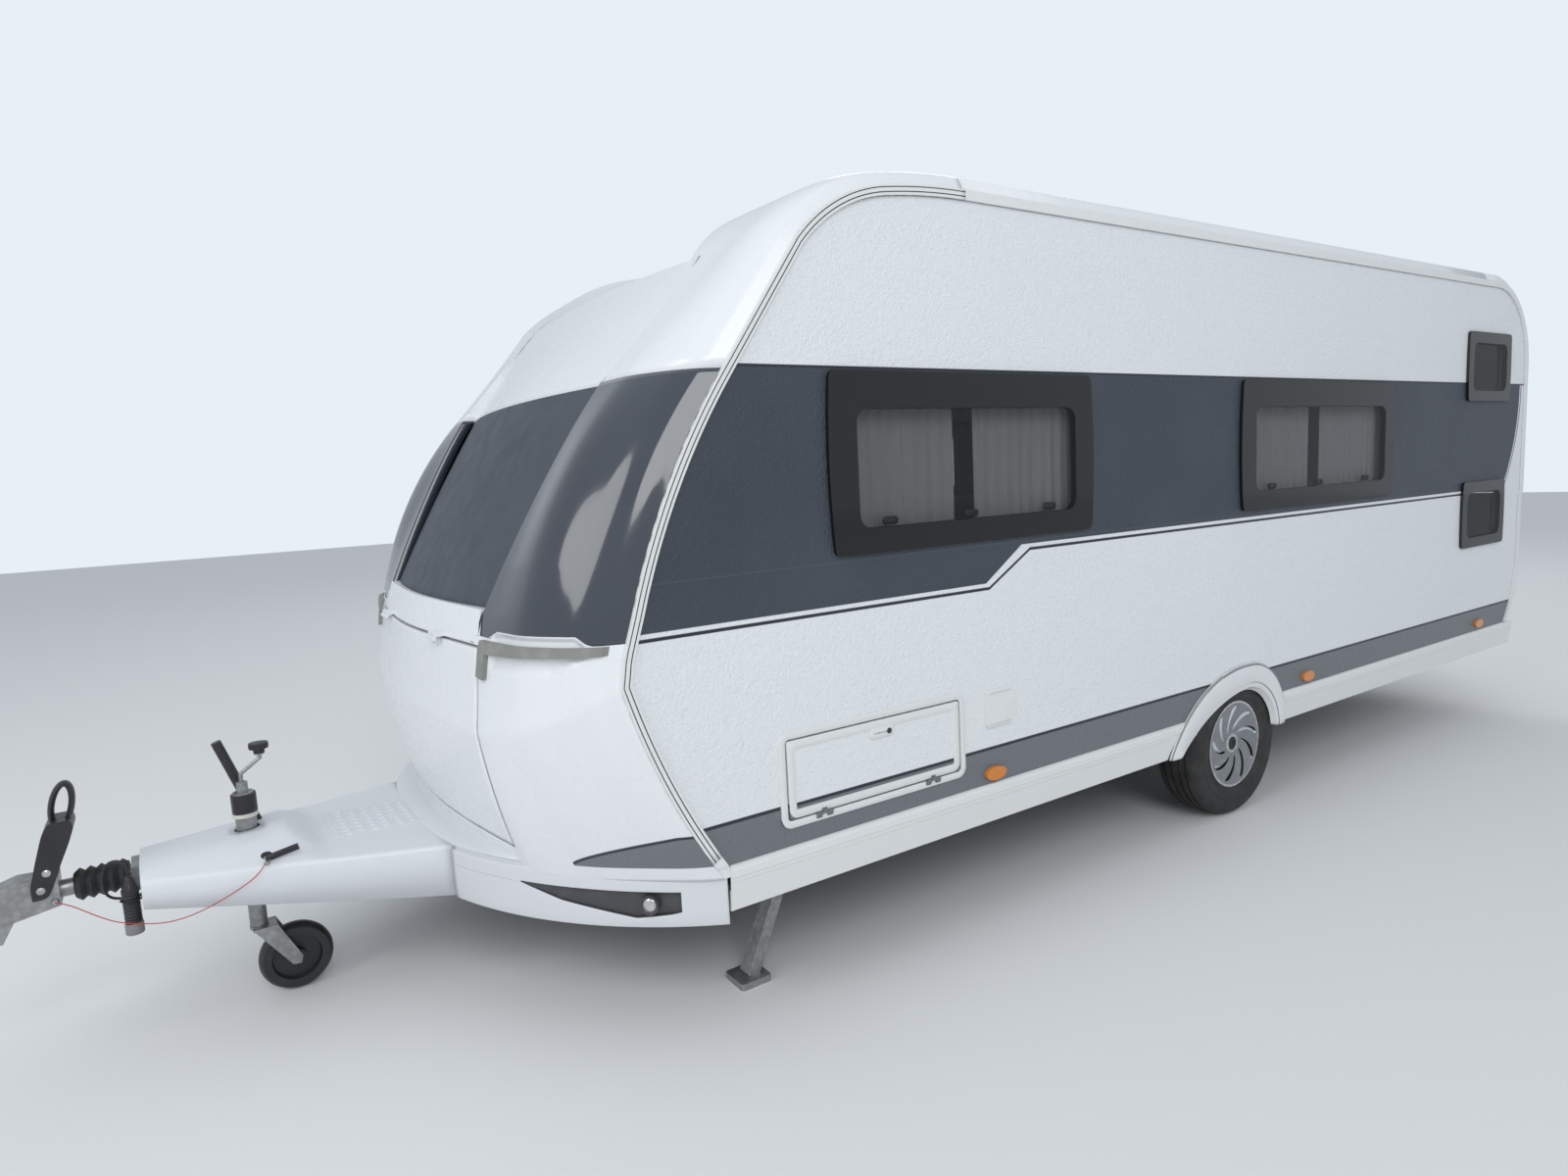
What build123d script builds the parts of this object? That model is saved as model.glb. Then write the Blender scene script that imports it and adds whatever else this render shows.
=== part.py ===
from build123d import *
import os
from math import cos, degrees, radians, sin

# Single-axle travel caravan in millimetres: +X to the hitch, +Y to the left, +Z up,
# origin on the ground under the middle of the overall length.
# Tables give X from the axle, and at() turns that into the model's own X.

os.makedirs("parts", exist_ok=True)

# Overall sizes
NOSE = 4500.0
REAR = 3020.0
AXLE_X = -(NOSE - REAR) / 2
BODY_WIDTH = 2300.0
RAIL_PROUD = 10.0
WALL_Y = BODY_WIDTH / 2 - RAIL_PROUD
WALL_T = 31.0
INNER_Y = WALL_Y - WALL_T
SKIN_T = 30.0
FLOOR_Z = 430.0
FLOOR_T = 40.0
FLOOR_TOP = FLOOR_Z + FLOOR_T
ROOF_EDGE_Z = 2470.0
ROOF_TOP_Z = 2552.0
ROOF_JOINT = 1605.0
REAR_JOINT = -2400.0
SEAT = 0.3
DOOR_GAP = 8.0
HATCH_INSET = 9.0

# Wheels and axle
TYRE_R = 320.0
TYRE_W = 195.0
WHEEL_Y = WALL_Y - 118
HUB_Y = WHEEL_Y - 134
ARM_Y = WHEEL_Y - 202
ARM_THICK = 30.0
BEAD_R = 190.0
AXLE_Z = TYRE_R
STUB_R = 17.5
RUNNING = 0.05
ARM_LENGTH = 150.0
TUBE_R = 45.0
TUBE_Z = 353.0
ARCH_R = 352.0
BOX_R = 375.0
BOX_T = 6.0
BOX_INNER = WALL_Y - 270

# Chassis
RAIL_Y = 620.0
RAIL_H = 130.0
RAIL_W = 50.0
RAIL_PLATE = 5.0
RAIL_TOP = FLOOR_Z - SEAT
RAIL_FRONT, RAIL_REAR = 2400.0, -2560.0
ARM_START_X, ARM_RISE_X, ARM_TIP_X = 2200.0, 3080.0, 3960.0
ARM_LOW_Z, ARM_TIP_Z = 384.0, 462.0
ARM_START_Y, ARM_TIP_Y = RAIL_Y + 10, 112.0
ARM_H = 70.0
ARM_W = 46.0

# Front moulding: X and Z of its ten levels at six distances from the middle out to the wall's edge.
# The levels are roof, brow, shoulder, pane top, pane middle, pane foot, ledge, nose, belly and foot.
JOINT = ROOF_JOINT
FRONT_STATIONS = {
    0.0: [(JOINT, ROOF_TOP_Z), (2010, 2506), (2380, 2305), (2760, 1900), (2962, 1572),
          (3131, 1257), (3172, 1155), (3221, 930), (3195, 720), (3112, FLOOR_TOP)],
    700.0: [(JOINT, 2543), (2000, 2503), (2375, 2285), (2722, 1900), (2930, 1565),
            (3083, 1257), (3118, 1155), (3156, 918), (3125, 720), (3043, FLOOR_TOP)],
    890.0: [(JOINT, 2537), (1992, 2501), (2372, 2268), (2712, 1900), (2948, 1560),
            (3066, 1257), (3090, 1155), (3096, 940), (3030, 726), (2912, FLOOR_TOP)],
    1050.0: [(JOINT, 2531), (1985, 2496), (2325, 2313), (2650, 1900), (2872, 1553),
             (2985, 1257), (3006, 1154), (2992, 1000), (2890, 740), (2745, FLOOR_TOP)],
    1115.0: [(JOINT, 2516), (1958, 2488), (2303, 2295), (2590, 1900), (2804, 1549),
             (2915, 1257), (2938, 1152), (2937, 1045), (2822, 752), (2662, FLOOR_TOP)],
    WALL_Y: [(JOINT, ROOF_EDGE_Z), (1939, 2446), (2271, 2265), (2531, 1900), (2737, 1546),
             (2845, 1257), (2880, 1150), (2893, 1070), (2778, 760), (2618, FLOOR_TOP)],
}
# The sunk middle of the front, from the cap down to the pane's foot, in the same levels
MIDDLE_STATIONS = {
    0.0: [(JOINT, 2562), (1900, 2497), (2470, 2212), (2745, 1900), (2946, 1572),
          (3118, 1257), (3172, 1155), (3221, 930), (3195, 720), (3112, FLOOR_TOP)],
    890.0: [(JOINT, 2562), (1860, 2497), (2383, 2212), (2658, 1900), (2859, 1572),
            (3031, 1257), (3085, 1155), (3134, 930), (3108, 720), (3025, FLOOR_TOP)],
}
# Share of the skin thickness that each level moves in, along X and Z
LEVEL_NORMALS = [
    (0.0, 1.0), (0.18, 0.98), (0.67, 0.74), (0.8, 0.6), (0.86, 0.5),
    (0.9, 0.44), (0.95, 0.3), (1.0, 0.0), (0.97, -0.2), (0.9, 0.0),
]
# Growth of the skin's depth along X towards the edge, by the distance from the middle
EDGE_SLOPE = {0.0: (1.0,), 700.0: (1.05,), 890.0: (1.1,), 1050.0: (1.25,), 1115.0: (1.5,), WALL_Y: (1.6,)}
# Distances from the middle that rows are filled in at
FILL_STATIONS = (350.0, 800.0, 950.0, 1005.0, 1085.0, 1130.0)
PANE_FOOT_Z, PANE_TOP_Z = 1257.0, 1900.0
PANE_FOOT_W, PANE_TOP_W = 642.0, 751.0
CORNER_FOOT_Z = 1186.0
# Half width of the sunk middle above the pane, by height
CREASE = [(778.0, 2009.0), (788.0, 2093.0), (774.0, 2167.0), (738.0, 2244.0), (700.0, 2320.0),
          (640.0, 2420.0), (560.0, 2600.0)]

# Grab handles and the pockets behind them, as outlines of Y and Z on the left side
HANDLE = [(706, 1180), (706, 1078), (748, 1072), (752, 1146), (1128, 1160), (1128, 1184)]
HANDLE_PROUD = 16.0
POCKET = [(757, 1104), (757, 1196), (780, 1208), (1072, 1210), (1092, 1192), (1104, 1150), (1010, 1106)]
POCKET_DEPTH = 12.0

# Gas locker lid, half widths by height
LID_TOP_Z, LID_MID_Z, LID_FOOT_Z = 1152.0, 905.0, 560.0
LID_TOP_W, LID_MID_W, LID_FOOT_W = 665.0, 706.0, 700.0
LID_AXIS_X, LID_AXIS_Z = 3180.0, 1155.0
LID_SWEEP_R = 599.0
BULKHEAD_X = 2480.0
BULKHEAD_T = 20.0
SHELF_Z = 1178.0

# Rear moulding
REAR_TOP_R = 450.0
REAR_STEP_Z = 1268.0
REAR_STEP = 20.0
REAR_BULGE = 30.0
# How far in from the rearmost point and how high the rear stands, by the distance from the middle
REAR_STATIONS = {
    0.0: (0, ROOF_TOP_Z),
    700.0: (6, 2543),
    890.0: (11, 2537),
    1050.0: (15, 2531),
    1115.0: (20, 2516),
    WALL_Y: (REAR_BULGE, ROOF_EDGE_Z),
}
CUT_LOW, CUT_HIGH = 300.0, 2650.0
LOFT_OVER = 30.0
CUT_SIDE = 1300.0

# Windows on both sides: X from, X to, Z from, Z to
WINDOWS_LEFT = [
    (1010, 2180, 1350, 1900),
    (-1310, 20, 1350, 1900),
    (-2720, -2170, 1813, 2188),
    (-2700, -2150, 1000, 1367),
]
WINDOWS_RIGHT = [
    (1420, 2190, 1350, 1900),
    (-900, 30, 1400, 1900),
    (-2350, -1950, 1500, 1900),
]
PANE_T = 14.0
PANE_LAP = 24.0
PANE_CORNER = 45.0
PANE_EDGE_R = 24.0
PANE_BOW = 0.011

# Doors and flaps: X from, X to, Z from, Z to
DOOR = (580.0, 1200.0, 520.0, 2330.0)
DOOR_WINDOW = (690.0, 1090.0, 1480.0, 1900.0)
HATCH = (1698.0, 2390.0, 588.0, 825.0)
HATCH_FRAME_W = 27.0
HATCH_FRAME_T = 5.0
CASSETTE = (-2420.0, -2040.0, 620.0, 930.0)
FLAP = (1442.0, 1569.0, 708.0, 836.0)
FLAP_T = 10.0
MARKERS = [(1532, 541), (-539, 545), (-2427, 546)]

# Hinges: knuckle radius, pin radius and one knuckle's length
DOOR_HINGE = (10.0, 5.0, 30.0)
DOOR_HINGE_X, DOOR_HINGE_Y = DOOR[1] + DOOR_GAP / 2, WALL_Y + 22
DOOR_HINGE_LEVELS = (700.0, 1380.0, 2100.0)
HATCH_HINGE = (4.0, 2.0, 20.0)
HATCH_HINGE_Y = WALL_Y + 11
LID_HINGE = (7.0, 4.0, 25.0)
LID_HINGE_Y = (-400.0, 325.0)

# Sill, from the top edge of the beaded rail to the skirt's foot
SILL_TOP, SILL_FOOT, SKIRT_FOOT = 505.0, 455.0, 365.0
SILL_FRONT, SILL_REAR = 2600.0, -2900.0
ARCH_FRONT, ARCH_REAR = 527.0, -337.0
ARCH_TOP_Z = 681.0
LIP_TOP_Z = 555.0

# Bumper
BUMPER_TOP, BUMPER_FOOT = 500.0, 325.0
BUMPER_T = 22.0

# Drawbar cover, coupling and jockey wheel
POST_X = 3718.0
POST_R = 30.0
POST_BORE = 26.0
POST_FOOT, POST_TOP = 345.0, 690.0
STEM_R = 25.6
STEM_FOOT, STEM_TOP = 247.0, 560.0
JOCKEY_R = 111.0
JOCKEY_W = 58.0
JOCKEY_TRAIL = 95.0
FORK_TOP = 246.0
COVER_BACK, COVER_FRONT = 3190.0, 4005.0
COVER_T = 4.0
COUPLING_Z = 510.0
BALL_X = 4420.0
BALL_R = 25.0
SHAFT_R = 25.0

# Corner steadies
LEG_LENGTH = 395.0
LEG_PIVOT_Z = 372.0
LEG_Y = WALL_Y - 225
STEADY_FRONT_X, STEADY_REAR_X = RAIL_FRONT - 130, RAIL_REAR + 410
LEG_PIN_R = 8.0
FOOT_SIZE = 110.0
FOOT_T = 22.0


def at(x):
    return AXLE_X + x


def save(part, name):
    part.label = name
    export_step(part, f"parts/{name}.step")


def mirrored(part):
    """The same piece on the other side of the caravan."""
    return mirror(part, about=Plane.XZ)


def block(x0, x1, y0, y1, z0, z1):
    """A plain box between two corners, X from the axle."""
    centre = (at((x0 + x1) / 2), (y0 + y1) / 2, (z0 + z1) / 2)
    return Pos(*centre) * Box(x1 - x0, y1 - y0, z1 - z0, mode=Mode.PRIVATE)


def post_disc(radius, z0, z1, x=POST_X):
    """An upright cylinder on the middle line, by default on the jockey post's axis."""
    return Pos(at(x), 0, (z0 + z1) / 2) * Cylinder(radius, z1 - z0, mode=Mode.PRIVATE)


def grown(bounds, amount):
    x0, x1, z0, z1 = bounds
    return (x0 - amount, x1 + amount, z0 - amount, z1 + amount)


def plate(bounds, corner, y_from, y_to):
    """A plate on the left side with rounded corners; bounds are X and Z from the axle."""
    x0, x1, z0, z1 = bounds
    with BuildPart() as made:
        with BuildSketch(Plane.XZ.offset(-y_from)):
            with Locations((at((x0 + x1) / 2), (z0 + z1) / 2)):
                RectangleRounded(x1 - x0, z1 - z0, corner)
        extrude(amount=-(y_to - y_from))
    return made.part


def knuckles(place, radius, pin, run, moving):
    """Hinge knuckles along a plane's normal from its origin: the outer two with their pin, or the middle one with its bore."""
    with BuildPart() as made:
        if moving:
            with BuildSketch(place.offset(run + 1)):
                Circle(radius)
                Circle(pin + RUNNING, mode=Mode.SUBTRACT)
            extrude(amount=run - 2)
        else:
            for start in (0, 2 * run):
                with BuildSketch(place.offset(start)):
                    Circle(radius)
                extrude(amount=run)
            with BuildSketch(place):
                Circle(pin)
            extrude(amount=3 * run)
    return made.part


def filled(table):
    """The rows of a table by distance from the middle, with more of them on a curve with no overshoot."""
    keys = sorted(table)
    rows = [table[key] for key in keys]
    steps = [b - a for a, b in zip(keys, keys[1:])]
    rises = [[(q - p) / step for p, q in zip(a, b)] for a, b, step in zip(rows, rows[1:], steps)]
    slopes = [[0.0 for _ in rows[0]]]
    for before, after in zip(rises, rises[1:]):
        slopes.append([2 * p * q / (p + q) if p * q > 0 else 0.0 for p, q in zip(before, after)])
    slopes.append(rises[-1])
    full = dict(table)
    for y in FILL_STATIONS:
        i = max(n for n, key in enumerate(keys[:-1]) if key < y)
        t = (y - keys[i]) / steps[i]
        ease = t * t * (3 - 2 * t)
        lead, trail = t * (1 - t) ** 2 * steps[i], t * t * (1 - t) * steps[i]
        row = zip(rows[i], rows[i + 1], slopes[i], slopes[i + 1])
        full[y] = tuple(p + (q - p) * ease + lead * u - trail * v for p, q, u, v in row)
    return full


def pairs(table):
    """A filled table whose rows are X and Z in turn, as lists of points."""
    flat = filled({y: sum(row, ()) for y, row in table.items()})
    return {y: list(zip(row[::2], row[1::2])) for y, row in flat.items()}


def front_lines(points):
    """The front profile from the roof down to the foot, through the levels' points."""
    roof, brow, shoulder, pane_top, pane_middle, pane_foot, ledge, nose, belly, foot = points
    bend = TangentArc(roof, brow, tangent=(1, 0))
    TangentArc(brow, shoulder, tangent=bend % 1)
    Line(shoulder, pane_top)
    ThreePointArc(pane_top, pane_middle, pane_foot)
    Line(pane_foot, ledge)
    Line(ledge, nose)
    ThreePointArc(nose, belly, foot)


def front_loft(stations, inset, reach):
    """A loft from edge to edge of side profiles, each moved in by inset, the outer ones out by reach."""
    slopes = filled(EDGE_SLOPE)
    places = sorted({side * y for y in stations for side in (-1, 1)})
    widest = places[-1]
    with BuildPart() as solid:
        for place in places:
            slope = slopes[abs(place)][0]
            rows = zip(stations[abs(place)], LEVEL_NORMALS)
            points = [(at(x - inset * nx * slope), z - inset * nz) for (x, z), (nx, nz) in rows]
            behind = at(JOINT - LOFT_OVER - inset)
            low = points[-1][1] - LOFT_OVER - inset
            if abs(place) == widest:
                place *= 1 + reach / widest
            with BuildSketch(Plane.XZ.offset(-place)):
                with BuildLine():
                    front_lines(points)
                    Polyline(points[-1], (points[-1][0], low), (behind, low), (behind, points[0][1]), points[0])
                make_face()
        loft(ruled=True)
    return solid.part


def outline_prism(rows, x_from, x_to):
    """A prism along X over an outline seen from the front: half widths by height, from the foot up."""
    right = [(half, z) for half, z in rows]
    with BuildPart() as made:
        with BuildSketch(Plane.YZ.offset(at(x_from))):
            with BuildLine():
                Polyline(*right, *[(-half, z) for half, z in reversed(right)], close=True)
            make_face()
        extrude(amount=x_to - x_from)
    return made.part


def front_solid(inset, reach):
    """The space inside the front moulding: the outer loft with its middle sunk to the inner one."""
    sunk = [(PANE_FOOT_W + inset, PANE_FOOT_Z - inset), (PANE_TOP_W + inset, PANE_TOP_Z)]
    sunk += [(half + inset, z) for half, z in CREASE]
    with BuildPart() as room:
        add(outline_prism(sunk, 1500, 3400))
        add(front_loft(MIDDLE_STATIONS, inset, 0), mode=Mode.SUBTRACT)
    with BuildPart() as solid:
        add(front_loft(pairs(FRONT_STATIONS), inset, reach))
        add(room.part, mode=Mode.SUBTRACT)
    return solid.part


def side_prism(inset, rear_shift, y_from, y_to):
    """The body's side view, moved in by inset, between two distances from the middle."""
    edge = [(at(x), z) for x, z in FRONT_STATIONS[WALL_Y]]
    foot = edge[-1]
    rear = at(-REAR + REAR_BULGE) + rear_shift
    low = FLOOR_Z - WALL_T
    top = ROOF_EDGE_Z - REAR_TOP_R
    toe = (foot[0] - (FLOOR_TOP - low) * 0.55, low)
    heel = (rear + 260, low)
    hip = (rear + REAR_STEP, 850)
    step = (rear + REAR_STEP, REAR_STEP_Z)
    with BuildPart() as made:
        with BuildSketch(Plane.XZ.offset(-y_from)):
            with BuildLine():
                front_lines(edge)
                Line(foot, toe)
                Line(toe, heel)
                ThreePointArc(heel, (rear + 76, 660), hip)
                Line(hip, step)
                Line(step, (rear, REAR_STEP_Z + 12))
                Line((rear, REAR_STEP_Z + 12), (rear, top))
                TangentArc((rear, top), (rear + REAR_TOP_R, ROOF_EDGE_Z), tangent=(0, 1))
                Line((rear + REAR_TOP_R, ROOF_EDGE_Z), edge[0])
            make_face()
            if inset:
                offset(amount=-inset, kind=Kind.INTERSECTION)
        extrude(amount=-(y_to - y_from))
    return made.part


def crown_prism(inset, x0, x1, reach):
    """Everything under the roof between two stations; its corners turn down to the walls."""
    share = (WALL_Y + reach - inset) / WALL_Y
    rows = sorted(filled(REAR_STATIONS).items())
    half_line = [(y * share, top - inset) for y, (_, top) in rows]
    line = [(-y, z) for y, z in reversed(half_line[1:])] + half_line
    with BuildPart() as made:
        with BuildSketch(Plane.YZ.offset(at(x0))):
            with BuildLine():
                Polyline(*line, (line[-1][0], CUT_LOW), (line[0][0], CUT_LOW), close=True)
            make_face()
        extrude(amount=x1 - x0)
    return made.part


def rear_solid(inset, reach):
    """The space inside the rear moulding, as a loft of side profiles from edge to edge."""
    low = FLOOR_Z - WALL_T - inset
    front = at(REAR_JOINT + LOFT_OVER + inset)
    stations = filled(REAR_STATIONS)
    places = sorted({side * y for y in stations for side in (-1, 1)})
    radius = REAR_TOP_R - inset
    with BuildPart() as solid:
        for place in places:
            back, top = stations[abs(place)]
            rear, top = at(-REAR + back) + inset, top - inset
            if abs(place) == WALL_Y:
                place *= 1 + reach / WALL_Y
            with BuildSketch(Plane.XZ.offset(-place)):
                with BuildLine():
                    heel, hip = (rear + 260, low), (rear + REAR_STEP, 850)
                    ThreePointArc(heel, (rear + 76, 660), hip)
                    Line(hip, (rear + REAR_STEP, REAR_STEP_Z))
                    Line((rear + REAR_STEP, REAR_STEP_Z), (rear, REAR_STEP_Z + 12))
                    Line((rear, REAR_STEP_Z + 12), (rear, top - radius))
                    TangentArc((rear, top - radius), (rear + radius, top), tangent=(0, 1))
                    Polyline((rear + radius, top), (front, top), (front, low), heel)
                make_face()
        loft(ruled=True)
    return solid.part


# Shells that the outer panels are cut from
wall_space = side_prism(WALL_T - SEAT, 0, INNER_Y - SEAT, WALL_Y + 20)
wall_spaces = [wall_space, mirrored(wall_space)]

with BuildPart() as front_room:
    add(front_solid(SKIN_T, 1))
    add(block(1500, 3400, -INNER_Y - 1, INNER_Y + 1, CUT_LOW, CUT_HIGH), mode=Mode.INTERSECT)

with BuildPart() as front_shell:
    add(front_solid(0, 0))
    add(block(ROOF_JOINT, 3400, -CUT_SIDE, CUT_SIDE, FLOOR_TOP, CUT_HIGH), mode=Mode.INTERSECT)
    add(front_room.part, mode=Mode.SUBTRACT)
    add(wall_spaces, mode=Mode.SUBTRACT)

with BuildPart() as rear_room:
    add(rear_solid(SKIN_T, 1))
    add(block(-REAR, REAR_JOINT + 20, -INNER_Y - 1, INNER_Y + 1, CUT_LOW, CUT_HIGH), mode=Mode.INTERSECT)

with BuildPart() as rear_shell:
    add(rear_solid(0, 0))
    add(block(-REAR - 10, REAR_JOINT, -CUT_SIDE, CUT_SIDE, FLOOR_TOP, CUT_HIGH), mode=Mode.INTERSECT)
    add(rear_room.part, mode=Mode.SUBTRACT)
    add(wall_spaces, mode=Mode.SUBTRACT)

with BuildPart() as roof_panel:
    add(crown_prism(0, REAR_JOINT, ROOF_JOINT, 0))
    add(crown_prism(SKIN_T, REAR_JOINT - 1, ROOF_JOINT + 1, 1), mode=Mode.SUBTRACT)
    add(wall_spaces, mode=Mode.SUBTRACT)
    add(block(REAR_JOINT, ROOF_JOINT, -CUT_SIDE, CUT_SIDE, 2300, CUT_HIGH), mode=Mode.INTERSECT)
save(roof_panel.part, "roof_panel")

# Rear: an upper panel, and a lower moulding with the lamps, from the step down
with BuildPart() as rear_panel:
    add(rear_shell.part)
    add(block(-REAR - 10, REAR_JOINT, -CUT_SIDE, CUT_SIDE, REAR_STEP_Z + 6, CUT_HIGH), mode=Mode.INTERSECT)
save(rear_panel.part, "rear_panel")

with BuildPart() as rear_bumper:
    add(rear_shell.part)
    add(block(-REAR - 10, REAR_JOINT, -CUT_SIDE, CUT_SIDE, FLOOR_TOP, REAR_STEP_Z + 6), mode=Mode.INTERSECT)
save(rear_bumper.part, "rear_bumper")


def lid_space(amount):
    """The lid's outline seen from the front, grown by amount, as a prism along X."""
    with BuildPart() as made:
        with BuildSketch(Plane.YZ.offset(at(2600))):
            with BuildLine():
                top, foot = LID_TOP_Z + amount, LID_FOOT_Z - amount
                half_top, half_mid, half_foot = (w + amount for w in (LID_TOP_W, LID_MID_W, LID_FOOT_W))
                Line((-half_top, top), (half_top, top))
                ThreePointArc((half_top, top), (half_mid, LID_MID_Z), (half_foot, foot))
                Line((half_foot, foot), (-half_foot, foot))
                ThreePointArc((-half_foot, foot), (-half_mid, LID_MID_Z), (-half_top, top))
            make_face()
        extrude(amount=900)
    return made.part


def pane_prism(z_from, z_to):
    """Between the corner panes' inner edges, carried on in line to two levels."""
    rise = (PANE_TOP_W - PANE_FOOT_W) / (PANE_TOP_Z - PANE_FOOT_Z)
    rows = [(PANE_FOOT_W + (z - PANE_FOOT_Z) * rise, z) for z in (z_from, z_to)]
    return outline_prism(rows, 2300, 3500)


def side_outline(points, x_from, x_to):
    """A prism along X over an outline of Y and Z on the left side, and its mirror image."""
    with BuildPart() as made:
        with BuildSketch(Plane.YZ.offset(at(x_from))):
            with BuildLine():
                Polyline(*points, close=True)
            make_face()
        extrude(amount=x_to - x_from)
    return [made.part, mirrored(made.part)]


def lid_hinges(moving):
    """The lid's two hinges: their knuckles, and the lugs down to the lid or up to the moulding."""
    radius, pin, run = LID_HINGE
    with BuildPart() as made:
        for y in LID_HINGE_Y:
            starts = (y + run + 1,) if moving else (y, y + 2 * run)
            wide = run - 2 if moving else run
            z_from, z_to = (LID_AXIS_Z - 18, LID_AXIS_Z - 5) if moving else (LID_AXIS_Z + 5.5, LID_AXIS_Z + 18)
            for start in starts:
                add(block(3142, LID_AXIS_X, start, start + wide, z_from, z_to))
                half = (LID_AXIS_X - 6, LID_AXIS_X)
                add(block(*half, start, start + wide, min(z_from, LID_AXIS_Z), max(z_to, LID_AXIS_Z)))
        for y in LID_HINGE_Y:
            place = Plane(origin=(at(LID_AXIS_X), y, LID_AXIS_Z), x_dir=(1, 0, 0), z_dir=(0, 1, 0))
            if moving:
                with BuildSketch(place):
                    Circle(pin + RUNNING)
                extrude(amount=3 * run, mode=Mode.SUBTRACT)
            add(knuckles(place, radius, pin, run, moving))
    return made.part


def door_hinges(moving):
    """The entrance door's hinges, on the left side."""
    radius, pin, run = DOOR_HINGE
    x, y = DOOR_HINGE_X, DOOR_HINGE_Y
    with BuildPart() as made:
        for z in DOOR_HINGE_LEVELS:
            starts = (z + run + 1,) if moving else (z, z + 2 * run)
            wide = run - 2 if moving else run
            for start in starts:
                if moving:
                    add(block(x - 36, DOOR[1], WALL_Y, WALL_Y + 10, start, start + wide))
                    add(block(x - 14, x - 4, WALL_Y + 4, y, start, start + wide))
                else:
                    add(block(DOOR[1] + DOOR_GAP, x + 36, WALL_Y - 2, WALL_Y + 6, start, start + wide))
                    add(block(x + 4, x + 14, WALL_Y, y, start, start + wide))
        for z in DOOR_HINGE_LEVELS:
            place = Plane(origin=(at(x), y, z), x_dir=(1, 0, 0), z_dir=(0, 0, 1))
            if moving:
                with BuildSketch(place):
                    Circle(pin + RUNNING)
                extrude(amount=3 * run, mode=Mode.SUBTRACT)
            add(knuckles(place, radius, pin, run, moving))
    return made.part


def hatch_hinges(bounds, moving):
    """Two hinges along a hatch's lower edge, on the left side."""
    radius, pin, run = HATCH_HINGE
    x0, x1, z0, _ = bounds
    z = z0 - DOOR_GAP / 2
    face = WALL_Y + HATCH_FRAME_T
    with BuildPart() as made:
        for middle in (x0 + 0.18 * (x1 - x0), x1 - 0.18 * (x1 - x0)):
            x = middle - 1.5 * run
            starts = (x + run + 1,) if moving else (x, x + 2 * run)
            wide = run - 2 if moving else run
            for start in starts:
                if moving:
                    add(block(start, start + wide, face - 2, HATCH_HINGE_Y, z + 3.9, z + 14))
                    add(block(start, start + wide, HATCH_HINGE_Y - 3, HATCH_HINGE_Y + 3, z, z + 8))
                else:
                    add(block(start, start + wide, face - 2, HATCH_HINGE_Y, z - 14, z - 3.9))
                    add(block(start, start + wide, HATCH_HINGE_Y - 3, HATCH_HINGE_Y + 3, z - 8, z))
            place = Plane(origin=(at(x), HATCH_HINGE_Y, z), x_dir=(0, 1, 0), z_dir=(1, 0, 0))
            if moving:
                with BuildSketch(place):
                    Circle(pin + RUNNING)
                extrude(amount=3 * run, mode=Mode.SUBTRACT)
            add(knuckles(place, radius, pin, run, moving))
    return made.part


# Front: cap over the pane, middle pane, corner panes, lower moulding and locker lid
with BuildPart() as front_cap:
    add(front_shell.part)
    add(block(1500, 3400, -CUT_SIDE, CUT_SIDE, PANE_TOP_Z, CUT_HIGH), mode=Mode.INTERSECT)
save(front_cap.part, "front_cap")

with BuildPart() as front_centre_pane:
    add(front_shell.part)
    add(pane_prism(PANE_FOOT_Z, PANE_TOP_Z), mode=Mode.INTERSECT)
save(front_centre_pane.part, "front_centre_pane")

pocket_prisms = side_outline(POCKET, 2500, 3400)
with BuildPart() as corner_room:
    add(block(1500, 3400, -CUT_SIDE, CUT_SIDE, CORNER_FOOT_Z, PANE_TOP_Z))
    add(pane_prism(CORNER_FOOT_Z - 10, PANE_TOP_Z + 10), mode=Mode.SUBTRACT)
    add(pocket_prisms, mode=Mode.SUBTRACT)

with BuildPart() as front_corner_panes:
    add(front_shell.part)
    add(corner_room.part, mode=Mode.INTERSECT)
save(front_corner_panes.part, "front_corner_panes")

with BuildPart() as gas_locker_lid:
    add(front_shell.part)
    add(lid_space(0), mode=Mode.INTERSECT)
    with BuildSketch(Plane.XZ.offset(1000)):
        with Locations((at(LID_AXIS_X), LID_AXIS_Z)):
            Circle(LID_SWEEP_R)
    extrude(amount=-2000, mode=Mode.INTERSECT)
    add(lid_hinges(True))
save(gas_locker_lid.part, "gas_locker_lid")

with BuildPart() as pockets:
    add(pocket_prisms)
    add(front_solid(POCKET_DEPTH, 1), mode=Mode.SUBTRACT)

with BuildPart() as front_lower_moulding:
    add(front_shell.part)
    add(block(1500, 3400, -CUT_SIDE, CUT_SIDE, FLOOR_TOP, PANE_FOOT_Z), mode=Mode.INTERSECT)
    add(corner_room.part, mode=Mode.SUBTRACT)
    add(pockets.part, mode=Mode.SUBTRACT)
    add(lid_space(DOOR_GAP), mode=Mode.SUBTRACT)
    add(lid_hinges(False))
save(front_lower_moulding.part, "front_lower_moulding")

# Grab handles: a bar over each pocket, with a foot turned down beside the lid
with BuildPart() as grab_bars:
    add(side_outline(HANDLE, 2500, 3400))

with BuildPart() as grab_handles:
    add(front_solid(-HANDLE_PROUD, 0))
    add(front_solid(-SEAT, 5), mode=Mode.SUBTRACT)
    add(grab_bars.part, mode=Mode.INTERSECT)
save(grab_handles.part, "grab_handles")

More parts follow.
